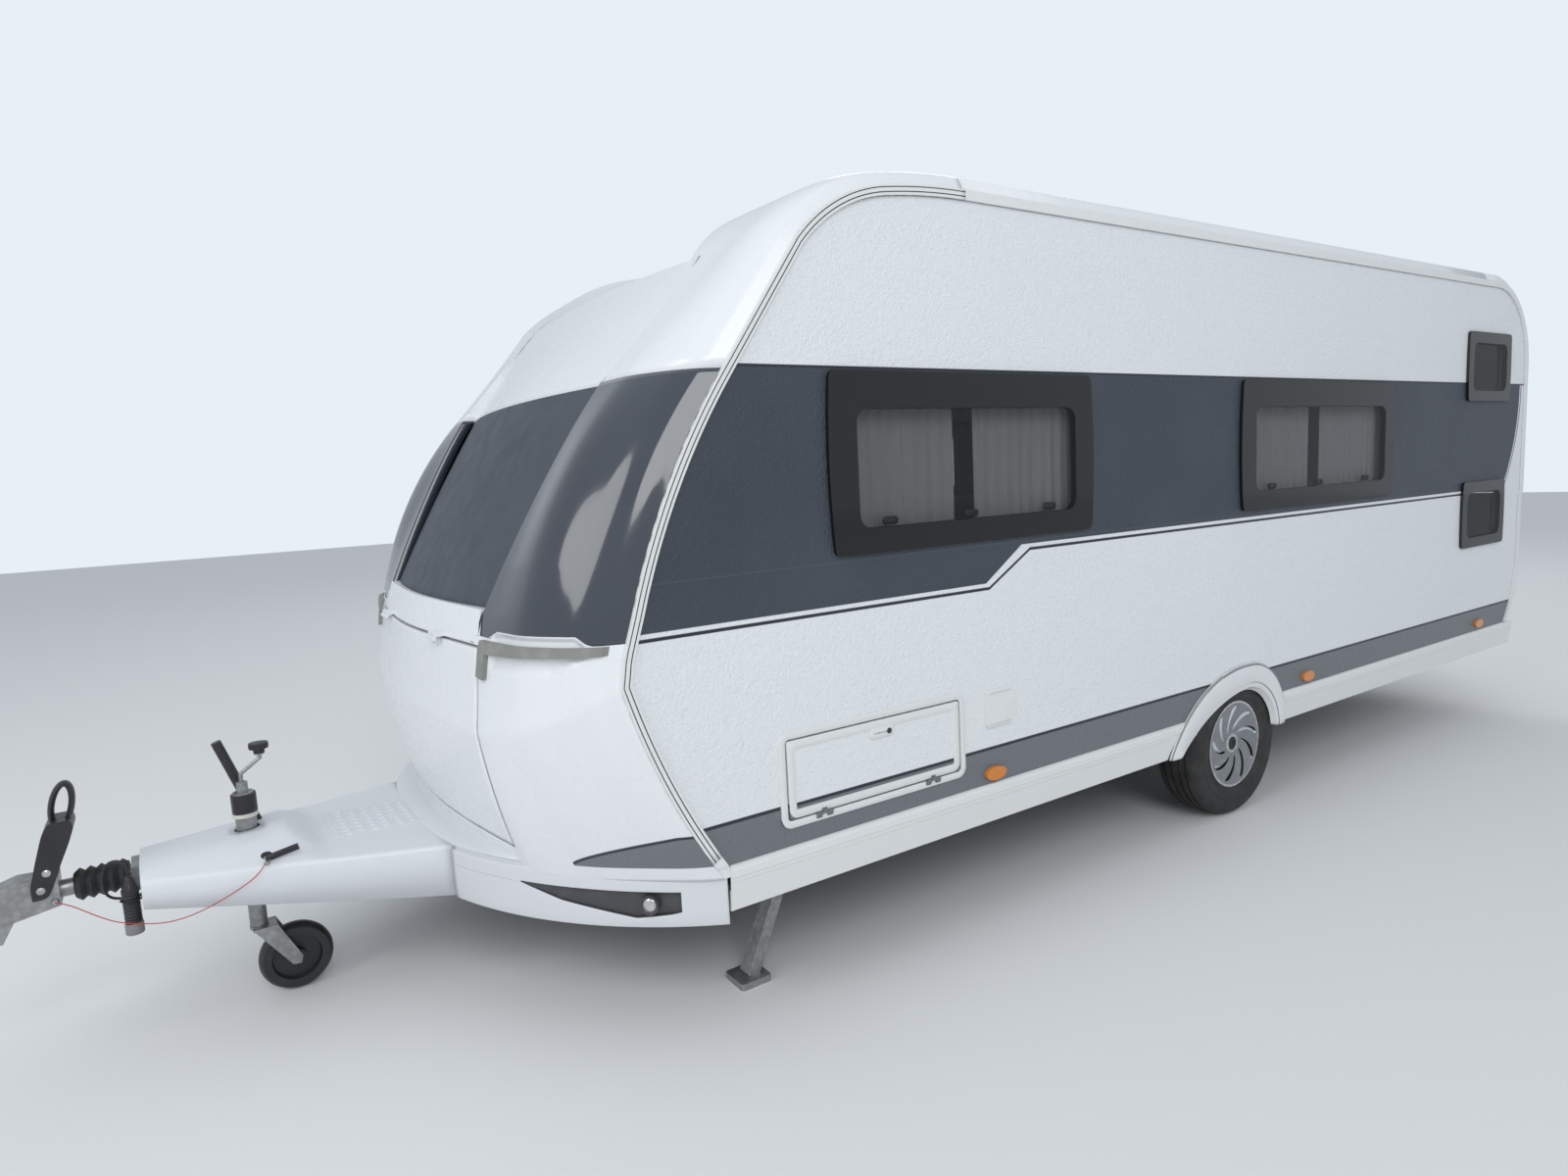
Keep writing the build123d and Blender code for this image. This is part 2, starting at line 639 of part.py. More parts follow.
# Locker bulkhead with its shelf, up to the moulding's inner face
with BuildPart() as locker_bulkhead:
    add(front_solid(SKIN_T + SEAT, 0))
    half = INNER_Y - SEAT
    add(block(BULKHEAD_X, 3400, -half, half, FLOOR_TOP, SHELF_Z + BULKHEAD_T), mode=Mode.INTERSECT)
    add(block(BULKHEAD_X + BULKHEAD_T, 3400, -1200, 1200, 400, SHELF_Z), mode=Mode.SUBTRACT)
    add(wall_spaces, mode=Mode.SUBTRACT)
save(locker_bulkhead.part, "locker_bulkhead")

def bumper_prism(inset, z_from, z_to):
    """The bumper's plan, moved in by inset, between two levels."""
    tip, horn, cheek = (3290 - inset, 0), (3195 - inset, 420 - inset), (2975 - inset, 825 - inset)
    end = (2605 - inset, WALL_Y - inset)
    right = {name: (at(x), -y) for name, (x, y) in {"horn": horn, "cheek": cheek, "end": end}.items()}
    left = {name: (x, -y) for name, (x, y) in right.items()}
    with BuildPart() as made:
        with BuildSketch(Plane.XY.offset(z_from)):
            with BuildLine():
                ThreePointArc(left["horn"], (at(tip[0]), 0), right["horn"])
                ThreePointArc(right["horn"], right["cheek"], right["end"])
                Line(right["end"], left["end"])
                ThreePointArc(left["end"], left["cheek"], left["horn"])
            make_face()
        extrude(amount=z_to - z_from)
    return made.part


# Floor, with notches over the wheels and its front edge inside the bumper
with BuildPart() as floor_panel:
    with BuildSketch(Plane.XY.offset(FLOOR_Z)):
        with BuildLine():
            half = INNER_Y - SEAT
            ThreePointArc((at(3035), -700), (at(3100), 0), (at(3035), 700))
            ThreePointArc((at(3035), 700), (at(2848), 940), (at(2560), half))
            Line((at(2560), half), (at(-2700), half))
            Line((at(-2700), half), (at(-2700), -half))
            Line((at(-2700), -half), (at(2560), -half))
            ThreePointArc((at(2560), -half), (at(2848), -940), (at(3035), -700))
        make_face()
        for side in (-1, 1):
            with Locations((at(0), side * (BOX_INNER + 300))):
                Rectangle(2 * (BOX_R + SEAT), 600, mode=Mode.SUBTRACT)
    extrude(amount=FLOOR_T)
    front_room = bumper_prism(BUMPER_T + SEAT, FLOOR_Z - 5, FLOOR_TOP + 5)
    add(front_room + block(-2800, 2600, -1200, 1200, FLOOR_Z - 5, FLOOR_TOP + 5), mode=Mode.INTERSECT)
save(floor_panel.part, "floor_panel")


def wall(windows):
    with BuildPart() as made:
        add(side_prism(WALL_T, 0, INNER_Y, WALL_Y))
        with BuildSketch(Plane.XZ.offset(-INNER_Y + 50)):
            with Locations((at(0), AXLE_Z)):
                Circle(ARCH_R)
            with Locations((at(0), AXLE_Z - 200)):
                Rectangle(2 * ARCH_R, 400)
        extrude(amount=-200, mode=Mode.SUBTRACT)
        for bounds in windows:
            add(plate(grown(bounds, -PANE_LAP), PANE_CORNER, INNER_Y - 50, WALL_Y + 50), mode=Mode.SUBTRACT)
    return made.part


with BuildPart() as left_wall:
    add(wall(WINDOWS_LEFT))
    add(plate(grown(HATCH, HATCH_FRAME_W), 30, WALL_Y, WALL_Y + HATCH_FRAME_T))
    add(plate(grown(HATCH, DOOR_GAP), 12, INNER_Y - 50, WALL_Y + 50), mode=Mode.SUBTRACT)
    add(plate(grown(FLAP, -15), 8, INNER_Y + 10, WALL_Y + 50), mode=Mode.SUBTRACT)
    add(hatch_hinges(HATCH, False))
save(left_wall.part, "left_wall")

with BuildPart() as right_blank:
    add(wall(WINDOWS_RIGHT))
    add(plate(grown(CASSETTE, HATCH_FRAME_W), 30, WALL_Y, WALL_Y + HATCH_FRAME_T))
    add(plate(grown(CASSETTE, DOOR_GAP), 12, INNER_Y - 50, WALL_Y + 50), mode=Mode.SUBTRACT)
    add(plate(grown(DOOR, DOOR_GAP), 60, INNER_Y - 50, WALL_Y + 50), mode=Mode.SUBTRACT)
    add(hatch_hinges(CASSETTE, False))
    add(door_hinges(False))
save(mirrored(right_blank.part), "right_wall")


def bowed_plate(bounds, y_from, y_to):
    """A window pane's outer sheet on the left side: its two ends bow outwards."""
    x0, x1, z0, z1 = bounds
    bow = PANE_BOW * (x1 - x0)
    middle = (z0 + z1) / 2
    with BuildPart() as made:
        with BuildSketch(Plane.XZ.offset(-y_from)) as face:
            with BuildLine():
                ThreePointArc((at(x0), z0), (at(x0 - bow), middle), (at(x0), z1))
                Line((at(x0), z1), (at(x1), z1))
                ThreePointArc((at(x1), z1), (at(x1 + bow), middle), (at(x1), z0))
                Line((at(x1), z0), (at(x0), z0))
            make_face()
            fillet(face.vertices(), radius=PANE_EDGE_R)
        extrude(amount=-(y_to - y_from))
    return made.part


def panes(windows):
    with BuildPart() as made:
        for bounds in windows:
            add(bowed_plate(bounds, WALL_Y + SEAT, WALL_Y + PANE_T))
            add(plate(grown(bounds, -PANE_LAP - 2), PANE_CORNER - 2, WALL_Y - 10, WALL_Y + SEAT))
    return made.part


save(panes(WINDOWS_LEFT), "windows_left")
save(mirrored(panes(WINDOWS_RIGHT)), "windows_right")

# Curtains against the wall inside the large windows
with BuildPart() as curtains:
    for bounds in WINDOWS_LEFT[:2]:
        add(plate(grown(bounds, 6), 4, INNER_Y - 26, INNER_Y - SEAT))
    for bounds in WINDOWS_RIGHT[:2]:
        add(mirrored(plate(grown(bounds, 6), 4, INNER_Y - 26, INNER_Y - SEAT)))
save(curtains.part, "curtains")

# Rear lamps: a cluster in each corner of the lower moulding
with BuildPart() as rear_lamps:
    for side in (1, -1):
        with BuildSketch(Plane.YZ.offset(at(-REAR - 6))):
            with Locations((side * 930, 950)):
                RectangleRounded(150, 420, 40)
        extrude(amount=60)
    add(rear_solid(-SEAT, 0), mode=Mode.SUBTRACT)
save(rear_lamps.part, "rear_lamps")

# Hatches, socket flap and entrance door
with BuildPart() as service_hatch:
    add(plate(HATCH, 8, INNER_Y + HATCH_INSET, WALL_Y + HATCH_FRAME_T))
    add(hatch_hinges(HATCH, True))
save(service_hatch.part, "service_hatch")

with BuildPart() as cassette_hatch:
    add(plate(CASSETTE, 8, INNER_Y + HATCH_INSET, WALL_Y + HATCH_FRAME_T))
    add(hatch_hinges(CASSETTE, True))
save(mirrored(cassette_hatch.part), "cassette_hatch")

with BuildPart() as socket_flap:
    add(plate(FLAP, 10, WALL_Y + SEAT, WALL_Y + FLAP_T))
save(socket_flap.part, "socket_flap")

with BuildPart() as entrance_door:
    add(plate(DOOR, 55, INNER_Y, WALL_Y + 4))
    add(plate(grown(DOOR_WINDOW, -PANE_LAP), PANE_CORNER, INNER_Y - 50, WALL_Y + 50), mode=Mode.SUBTRACT)
    add(door_hinges(True))
save(mirrored(entrance_door.part), "entrance_door")

with BuildPart() as door_window:
    add(bowed_plate(DOOR_WINDOW, WALL_Y + 4 + SEAT, WALL_Y + 12))
save(mirrored(door_window.part), "door_window")

# Edge rails over the joint of wall and mouldings
with BuildPart() as edge_rail:
    add(side_prism(-2, 0, WALL_Y + SEAT, WALL_Y + RAIL_PROUD))
    add(side_prism(30, 0, WALL_Y, WALL_Y + 20), mode=Mode.SUBTRACT)
    add(block(-3100, 3000, 1000, 1300, 300, SILL_TOP + 5), mode=Mode.SUBTRACT)
with BuildPart() as edge_rails:
    add(edge_rail.part)
    add(mirrored(edge_rail.part))
save(edge_rails.part, "edge_rails")

def arch_prism(grow, y_from, y_to):
    """The wheel arch trim's outer outline, grown by grow, between two distances from the middle."""
    foot = SKIRT_FOOT - grow
    with BuildPart() as made:
        with BuildSketch(Plane.XZ.offset(-y_from)):
            with BuildLine():
                front, top, back = (at(ARCH_FRONT + grow), foot), (at(-42), ARCH_TOP_Z + grow), (at(ARCH_REAR - grow), foot)
                ThreePointArc(front, (at(300 + grow), 600 + grow), top)
                ThreePointArc(top, (at(-260 - grow), 590 + grow), back)
                Line(back, front)
            make_face()
        extrude(amount=-(y_to - y_from))
    return made.part


# Sill: beaded rail and skirt in front of and behind the wheel
with BuildPart() as sill:
    with BuildSketch(Plane.YZ.offset(at(SILL_REAR))):
        with BuildLine():
            face = WALL_Y + SEAT
            Polyline(
                (face, SILL_TOP),
                (face + 7, SILL_TOP - 2),
                (face + 7, SILL_TOP - 12),
                (face + 10, SILL_TOP - 15),
                (face + 10, SILL_FOOT + 14),
                (face + 6, SILL_FOOT + 10),
                (face + 6, SILL_FOOT),
                (face + 4, SILL_FOOT - 5),
                (face - 6, SKIRT_FOOT),
                (face - 14, SKIRT_FOOT),
                (face - 8, FLOOR_Z - 2),
                (face, FLOOR_Z - 2),
                close=True,
            )
        make_face()
    extrude(amount=SILL_FRONT - SILL_REAR)
    add(arch_prism(1, 1000, 1300), mode=Mode.SUBTRACT)
save(sill.part, "sill_left")
save(mirrored(sill.part), "sill_right")

# Wheel arch trims: the moulded spat around the wheel opening
with BuildPart() as arch_trim:
    add(arch_prism(0, WALL_Y + SEAT, WALL_Y + RAIL_PROUD + 6))
    with BuildSketch(Plane.XZ.offset(-WALL_Y + 50)):
        with BuildLine():
            lip = (at(0), LIP_TOP_Z)
            lip_back, lip_front = (at(ARCH_REAR + 75), SKIRT_FOOT - 5), (at(ARCH_FRONT - 90), SKIRT_FOOT - 5)
            ThreePointArc(lip_back, (at(-170), 515), lip)
            ThreePointArc(lip, (at(250), 480), lip_front)
            Line(lip_front, lip_back)
        make_face()
    extrude(amount=-200, mode=Mode.SUBTRACT)
with BuildPart() as arch_trims:
    add(arch_trim.part)
    add(mirrored(arch_trim.part))
save(arch_trims.part, "arch_trims")

# Wheel boxes inside the body
with BuildPart() as wheel_box:
    with BuildSketch(Plane.XZ.offset(-BOX_INNER)):
        with Locations((at(0), AXLE_Z)):
            Circle(BOX_R)
        with Locations((at(0), AXLE_Z - 200)):
            Rectangle(2 * BOX_R, 400)
        with Locations((at(0), FLOOR_Z - 500)):
            Rectangle(3 * BOX_R, 1000, mode=Mode.SUBTRACT)
    extrude(amount=-(INNER_Y - SEAT - BOX_INNER))
    with BuildSketch(Plane.XZ.offset(-BOX_INNER - BOX_T)):
        with Locations((at(0), AXLE_Z)):
            Circle(BOX_R - BOX_T)
    extrude(amount=-300, mode=Mode.SUBTRACT)
    with BuildSketch(Plane.XZ.offset(-BOX_INNER - BOX_T)):
        with Locations((at(0), AXLE_Z - 100)):
            Rectangle(2 * (BOX_R - BOX_T), 300)
    extrude(amount=-300, mode=Mode.SUBTRACT)
with BuildPart() as wheel_boxes:
    add(wheel_box.part)
    add(mirrored(wheel_box.part))
save(wheel_boxes.part, "wheel_boxes")

# Amber side markers
with BuildPart() as side_markers:
    for side in (1, -1):
        for x, z in MARKERS:
            with BuildSketch(Plane.XZ.offset(-side * (WALL_Y + SEAT))):
                with Locations((at(x), z)):
                    Ellipse(48, 24)
            extrude(amount=-side * 14)
save(side_markers.part, "side_markers")

# Front bumper: a tray open below, cut back to the moulding and open over the drawbar
with BuildPart() as front_bumper:
    add(bumper_prism(0, BUMPER_FOOT, BUMPER_TOP))
    add(bumper_prism(BUMPER_T, BUMPER_FOOT - 1, BUMPER_TOP - 10), mode=Mode.SUBTRACT)
    add(front_solid(-1.5, 5), mode=Mode.SUBTRACT)
    add(block(2500, 2608, -1300, 1300, 300, 600), mode=Mode.SUBTRACT)
    add(block(COVER_BACK - SEAT, 3400, -420, 420, 300, 600), mode=Mode.SUBTRACT)
save(front_bumper.part, "front_bumper")

# Front lamps in the bumper's ends, grab handles, rooflights
with BuildPart() as front_lamps:
    for side in (1, -1):
        turn = 38
        place = Plane(
            origin=(at(3010), side * 780, 410), x_dir=(-sin(radians(turn)), side * cos(radians(turn)), 0), z_dir=(cos(radians(turn)), side * sin(radians(turn)), 0)
        )
        with BuildSketch(place):
            RectangleRounded(330, 62, 25)
        extrude(amount=34)
    add(front_bumper.part, mode=Mode.SUBTRACT)
save(front_lamps.part, "front_lamps")

ROOFLIGHT_DROP = 30.0
ROOFLIGHTS = [(650, 0, 700, 500, 60), (-1500, 0, 400, 400, 60), (-2050, 500, 280, 280, 50)]
with BuildPart() as rooflights:
    for x, y, length, width, height in ROOFLIGHTS:
        with BuildSketch(Plane.XY.offset(ROOF_TOP_Z - ROOFLIGHT_DROP)):
            with Locations((at(x), y)):
                RectangleRounded(length, width, 60)
        extrude(amount=ROOFLIGHT_DROP + height, taper=8)
    add(crown_prism(-SEAT, REAR_JOINT, ROOF_JOINT, 5), mode=Mode.SUBTRACT)
save(rooflights.part, "rooflights")

def chassis_arm():
    """The drawbar arm on the left: a channel, level under the floor and rising to the coupling."""
    share = (ARM_RISE_X - ARM_START_X) / (ARM_TIP_X - ARM_START_X)
    rise_y = ARM_START_Y + (ARM_TIP_Y - ARM_START_Y) * share
    stations = [(ARM_START_X, ARM_START_Y, ARM_LOW_Z), (ARM_RISE_X, rise_y, ARM_LOW_Z), (ARM_TIP_X, ARM_TIP_Y, ARM_TIP_Z)]
    high, deep = ARM_H / 2, ARM_H / 2 - RAIL_PLATE
    inner, web, outer = -ARM_W / 2, -ARM_W / 2 + RAIL_PLATE, ARM_W / 2
    profile = [(inner, -high), (outer, -high), (outer, -deep), (web, -deep)]
    profile += [(y, -z) for y, z in reversed(profile)]
    with BuildPart() as made:
        for x, y, z in stations:
            with BuildSketch(Plane.YZ.offset(at(x))):
                with BuildLine():
                    Polyline(*[(y + dy, z + dz) for dy, dz in profile], close=True)
                make_face()
        loft(ruled=True)
    return made.part


# Chassis members: a straight channel under the floor and an arm to the coupling
with BuildPart() as chassis_rail:
    with BuildSketch(Plane.YZ.offset(at(RAIL_REAR))):
        with Locations((RAIL_Y + RAIL_W / 2, RAIL_TOP - RAIL_H / 2)):
            Rectangle(RAIL_W, RAIL_H)
        with Locations((RAIL_Y + RAIL_W / 2 + RAIL_PLATE, RAIL_TOP - RAIL_H / 2)):
            Rectangle(RAIL_W, RAIL_H - 2 * RAIL_PLATE, mode=Mode.SUBTRACT)
    extrude(amount=RAIL_FRONT - RAIL_REAR)
    with BuildSketch(Plane.XZ.offset(-RAIL_Y + 50)):
        for x in (-2200, -1900, -1600, -1300, -1000, 800, 1100, 1400, 1700):
            with Locations((at(x), RAIL_TOP - RAIL_H / 2)):
                Circle(34)
    extrude(amount=-100, mode=Mode.SUBTRACT)
    add(chassis_arm())
    for x in (STEADY_FRONT_X, STEADY_REAR_X):
        add(block(x - 22, x + 22, RAIL_Y, LEG_Y + 45, LEG_PIVOT_Z + 28, RAIL_TOP))
        for y in (LEG_Y - 38, LEG_Y + 38):
            add(block(x - 22, x + 22, y - 4, y + 4, LEG_PIVOT_Z - 18, RAIL_TOP))
        with BuildSketch(Plane.XZ.offset(-(LEG_Y - 38))):
            with Locations((at(x), LEG_PIVOT_Z)):
                Circle(LEG_PIN_R)
        extrude(amount=-76)
    with BuildSketch(Plane.XZ.offset(-RAIL_Y + 50)):
        with Locations((at(ARM_LENGTH), TUBE_Z)):
            Circle(TUBE_R + SEAT)
    extrude(amount=-200, mode=Mode.SUBTRACT)
save(chassis_rail.part, "chassis_rail_left")
save(mirrored(chassis_rail.part), "chassis_rail_right")

with BuildPart() as cross_members:
    for x in (-2450, -900, 1250, 2150):
        half = RAIL_Y - SEAT
        add(block(x - 20, x + 20, -half, half, RAIL_TOP - 60, RAIL_TOP))
    add(block(3640, 3950, -140, 140, 452, 470))
    add(chassis_rail.part, mode=Mode.SUBTRACT)
    add(mirrored(chassis_rail.part), mode=Mode.SUBTRACT)
    add(post_disc(POST_R + SEAT, 440, 480), mode=Mode.SUBTRACT)
save(cross_members.part, "cross_members")

# Axle: tube, trailing arms, brake back plates and stub axles
with BuildPart() as axle:
    tube_half = ARM_Y + 10
    with BuildSketch(Plane.XZ.offset(tube_half)):
        with Locations((at(ARM_LENGTH), TUBE_Z)):
            Circle(TUBE_R)
    extrude(amount=-2 * tube_half)
    for side in (1, -1):
        with BuildSketch(Plane.XZ.offset(-side * ARM_Y)):
            with BuildLine():
                Line((at(ARM_LENGTH), TUBE_Z + 38), (at(0), AXLE_Z + 26))
                ThreePointArc((at(0), AXLE_Z + 26), (at(-26), AXLE_Z), (at(0), AXLE_Z - 26))
                Line((at(0), AXLE_Z - 26), (at(ARM_LENGTH), TUBE_Z - 38))
                Line((at(ARM_LENGTH), TUBE_Z - 38), (at(ARM_LENGTH), TUBE_Z + 38))
            make_face()
        extrude(amount=-side * ARM_THICK)
        with BuildSketch(Plane.XZ.offset(-side * (ARM_Y + ARM_THICK))):
            with Locations((at(0), AXLE_Z)):
                Circle(STUB_R + 12)
        extrude(amount=-side * (HUB_Y - ARM_Y - ARM_THICK))
        with BuildSketch(Plane.XZ.offset(-side * HUB_Y)):
            with Locations((at(0), AXLE_Z)):
                Circle(112)
        extrude(amount=-side * 4)
        with BuildSketch(Plane.XZ.offset(-side * HUB_Y)):
            with Locations((at(0), AXLE_Z)):
                Circle(STUB_R)
        extrude(amount=-side * 130)
save(axle.part, "axle")

# Wheels: tyre, rim with brake drum, cover
wheel_plane = Plane(origin=(at(0), 0, AXLE_Z), x_dir=(1, 0, 0), z_dir=(0, 0, 1))
wheel_axis = Axis((at(0), 0, AXLE_Z), (0, 1, 0))
IN_Y, OUT_Y = WHEEL_Y - TYRE_W / 2, WHEEL_Y + TYRE_W / 2
with BuildPart() as tyre:
    with BuildSketch(wheel_plane):
        with BuildLine():
            Line((BEAD_R, IN_Y + 12), (TYRE_R - 45, IN_Y))
            ThreePointArc((TYRE_R - 45, IN_Y), (TYRE_R - 12, IN_Y + 10), (TYRE_R - 3, IN_Y + 32))
            ThreePointArc((TYRE_R - 3, IN_Y + 32), (TYRE_R, WHEEL_Y), (TYRE_R - 3, OUT_Y - 32))
            ThreePointArc((TYRE_R - 3, OUT_Y - 32), (TYRE_R - 12, OUT_Y - 10), (TYRE_R - 45, OUT_Y))
            Line((TYRE_R - 45, OUT_Y), (BEAD_R, OUT_Y - 12))
            Line((BEAD_R, OUT_Y - 12), (BEAD_R, IN_Y + 12))
        make_face()
    revolve(axis=wheel_axis)
save(tyre.part, "tyre_left")
save(mirrored(tyre.part), "tyre_right")

DRUM_IN, DRUM_R = HUB_Y + 6, 115.0
DISC_Y = WHEEL_Y + 18
with BuildPart() as rim:
    with BuildSketch(wheel_plane):
        with BuildLine():
            Polyline(
                (BEAD_R - 0.2, IN_Y + 14),
                (BEAD_R - 0.2, OUT_Y - 14),
                (BEAD_R - 6, OUT_Y - 14),
                (BEAD_R - 12, DISC_Y + 20),
                (BEAD_R - 40, DISC_Y + 6),
                (90, DISC_Y + 12),
                (40, DISC_Y + 6),
                (40, DISC_Y + 28),
                (0, DISC_Y + 28),
                (0, DISC_Y - 15),
                (STUB_R + RUNNING, DISC_Y - 15),
                (STUB_R + RUNNING, DRUM_IN + 5),
                (DRUM_R - 14, DRUM_IN + 5),
                (DRUM_R - 10, DRUM_IN),
                (DRUM_R, DRUM_IN),
                (DRUM_R, DISC_Y - 55),
                (90, DISC_Y - 45),
                (90, DISC_Y),
                (BEAD_R - 44, DISC_Y),
                (BEAD_R - 16, DISC_Y + 10),
                (BEAD_R - 14, IN_Y + 20),
                (BEAD_R - 6, IN_Y + 14),
                close=True,
            )
        make_face()
    revolve(axis=wheel_axis)
save(rim.part, "rim_left")
save(mirrored(rim.part), "rim_right")

COVER_R = 200.0
with BuildPart() as wheel_cover:
    with BuildSketch(wheel_plane):
        with BuildLine():
            Polyline(
                (0, OUT_Y - 22),
                (34, OUT_Y - 20),
                (40, OUT_Y - 26),
                (120, OUT_Y - 14),
                (COVER_R - 16, OUT_Y - 10),
                (COVER_R - 11, OUT_Y - 9),
                (COVER_R - 12, OUT_Y - 14 + SEAT),
                (COVER_R - 16, OUT_Y - 13.5),
                (120, OUT_Y - 18),
                (38, OUT_Y - 30),
                (0, OUT_Y - 27),
                close=True,
            )
        make_face()
    revolve(axis=wheel_axis)
    with BuildSketch(Plane.XZ.offset(-OUT_Y + 60)):
        with Locations((at(0), AXLE_Z)):
            with PolarLocations(142, 9):
                SlotOverall(66, 17)
    extrude(amount=-100, mode=Mode.SUBTRACT)
save(wheel_cover.part, "wheel_cover_left")
save(mirrored(wheel_cover.part), "wheel_cover_right")


# Jockey wheel: clamped tube with its crank, stem, fork and wheel
with BuildPart() as jockey_tube:
    add(post_disc(POST_R, POST_FOOT, POST_TOP))
    add(post_disc(POST_BORE, POST_FOOT - 1, POST_TOP - 12), mode=Mode.SUBTRACT)
    add(post_disc(POST_R + 6, 612, 622))
    add(post_disc(POST_R + 5, 626, 684))
    add(post_disc(POST_R + 2, 622, 626))
    add(post_disc(POST_BORE, POST_FOOT - 1, POST_TOP - 12), mode=Mode.SUBTRACT)
    add(post_disc(16, POST_TOP, 722))
    add(block(POST_X - 20, POST_X + 75, -34, 34, 470 + SEAT, 505))
    add(post_disc(POST_BORE, POST_FOOT - 1, POST_TOP - 12), mode=Mode.SUBTRACT)
    with BuildLine() as crank:
        Polyline((at(POST_X), 0, 715), (at(POST_X), 0, 748), (at(POST_X - 58), 0, 790), (at(POST_X - 58), 0, 812))
    with BuildSketch(Plane(origin=crank.line @ 0, z_dir=crank.line % 0)):
        Circle(6)
    sweep(transition=Transition.RIGHT)
    add(post_disc(15, 802, 822, POST_X - 58))
    add(post_disc(27, 822, 838, POST_X - 58))
save(jockey_tube.part, "jockey_tube")

with BuildPart() as jockey_stem:
    add(post_disc(STEM_R, STEM_FOOT, STEM_TOP))
    add(post_disc(STEM_R - 4, STEM_FOOT + 12, STEM_TOP + 1), mode=Mode.SUBTRACT)
    add(post_disc(10.1, STEM_FOOT - 1, STEM_FOOT + 13), mode=Mode.SUBTRACT)
save(jockey_stem.part, "jockey_stem")

JOCKEY_X = POST_X - JOCKEY_TRAIL
with BuildPart() as jockey_fork:
    add(post_disc(10, FORK_TOP - 2, STEM_FOOT + 40))
    add(post_disc(27, FORK_TOP - 12, FORK_TOP))
    add(block(POST_X - 50, POST_X + 20, -JOCKEY_W / 2 - 11, JOCKEY_W / 2 + 11, FORK_TOP - 12, FORK_TOP - 4))
    for side in (1, -1):
        with BuildSketch(Plane.XZ.offset(-side * (JOCKEY_W / 2 + 6))):
            with BuildLine():
                Polyline(
                    (at(POST_X + 20), FORK_TOP - 4),
                    (at(POST_X - 50), FORK_TOP - 4),
                    (at(JOCKEY_X - 16), JOCKEY_R + 6),
                    (at(JOCKEY_X - 10), JOCKEY_R - 18),
                    (at(JOCKEY_X + 14), JOCKEY_R - 16),
                    close=True,
                )
            make_face()
        extrude(amount=-side * 5)
    with BuildSketch(Plane.XZ.offset(JOCKEY_W / 2 + 8)):
        with Locations((at(JOCKEY_X), JOCKEY_R)):
            Circle(8)
    extrude(amount=-JOCKEY_W - 16)
save(jockey_fork.part, "jockey_fork")

with BuildPart() as jockey_wheel:
    with BuildSketch(Plane(origin=(at(JOCKEY_X), 0, JOCKEY_R), x_dir=(1, 0, 0), z_dir=(0, 0, 1))):
        with BuildLine():
            half = JOCKEY_W / 2
            ThreePointArc((JOCKEY_R - 12, -half), (JOCKEY_R, 0), (JOCKEY_R - 12, half))
            Polyline(
                (JOCKEY_R - 12, half),
                (JOCKEY_R - 36, half - 2),
                (JOCKEY_R - 40, 8),
                (28, 8),
                (26, half),
                (8.08, half),
                (8.08, -half),
                (26, -half),
                (28, -8),
                (JOCKEY_R - 40, -8),
                (JOCKEY_R - 36, -half + 2),
                (JOCKEY_R - 12, -half),
            )
        make_face()
    revolve(axis=Axis((at(JOCKEY_X), 0, JOCKEY_R), (0, 1, 0)))
save(jockey_wheel.part, "jockey_wheel")

# Drawbar cover: a moulding open below, as sections with X, half width, foot, edge, and the ridge's half width and top
COVER_SECTIONS = [
    (COVER_FRONT, 150, 440, 520, 92, 556),
    (3630, 273, 389, 513, 115, 576),
    (3505, 314, 372, 510, 150, 514),
    (COVER_BACK, 418, 335, 500, 200, 502),
]


def cover_space(inset):
    with BuildPart() as made:
        for x, half, foot, edge, ridge, top in COVER_SECTIONS:
            if x == COVER_FRONT:
                x -= inset
            half -= inset
            if inset:
                foot -= 20
            with BuildSketch(Plane.YZ.offset(at(x))):
                with BuildLine():
                    Polyline(
                        (-half, foot),
                        (-half, edge - inset),
                        (-ridge, top - inset),
                        (ridge, top - inset),
                        (half, edge - inset),
                        (half, foot),
                        close=True,
                    )
                make_face()
        loft(ruled=True)
    return made.part


with BuildPart() as drawbar_cover:
    add(cover_space(0))
    add(cover_space(COVER_T), mode=Mode.SUBTRACT)
    add(block(COVER_BACK - 1, COVER_BACK + 6, -418 + COVER_T, 418 - COVER_T, 300, 496), mode=Mode.SUBTRACT)
    add(post_disc(POST_R + 6, 400, 700), mode=Mode.SUBTRACT)
    add(block(3620, 3700, -80, -40, 400, 700), mode=Mode.SUBTRACT)
    add(block(3990, 4010, -62, 62, 457, 545), mode=Mode.SUBTRACT)
save(drawbar_cover.part, "drawbar_cover")

# Coupling: overrun housing, draw shaft and ball head
with BuildPart() as coupling_body:
    add(block(3810, 4028, -58, 58, 470 + SEAT, 542))
    with BuildSketch(Plane.YZ.offset(at(4000))):
        with Locations((0, COUPLING_Z)):
            Circle(SHAFT_R)
    extrude(amount=300)
    with BuildSketch(Plane.XZ.offset(45)):
        with BuildLine():
            Polyline(
                (at(4200), 475),
                (at(4200), 560),
                (at(4300), 565),
                (at(4440), 520),
                (at(4485), 470),
                (at(4500), 430),
                (at(4500), 400),
                (at(4340), 400),
                (at(4310), 455),
                close=True,
            )
        make_face()
    extrude(amount=-90)
    add(post_disc(BALL_R + RUNNING, 390, 435, BALL_X), mode=Mode.SUBTRACT)
save(coupling_body.part, "coupling_body")

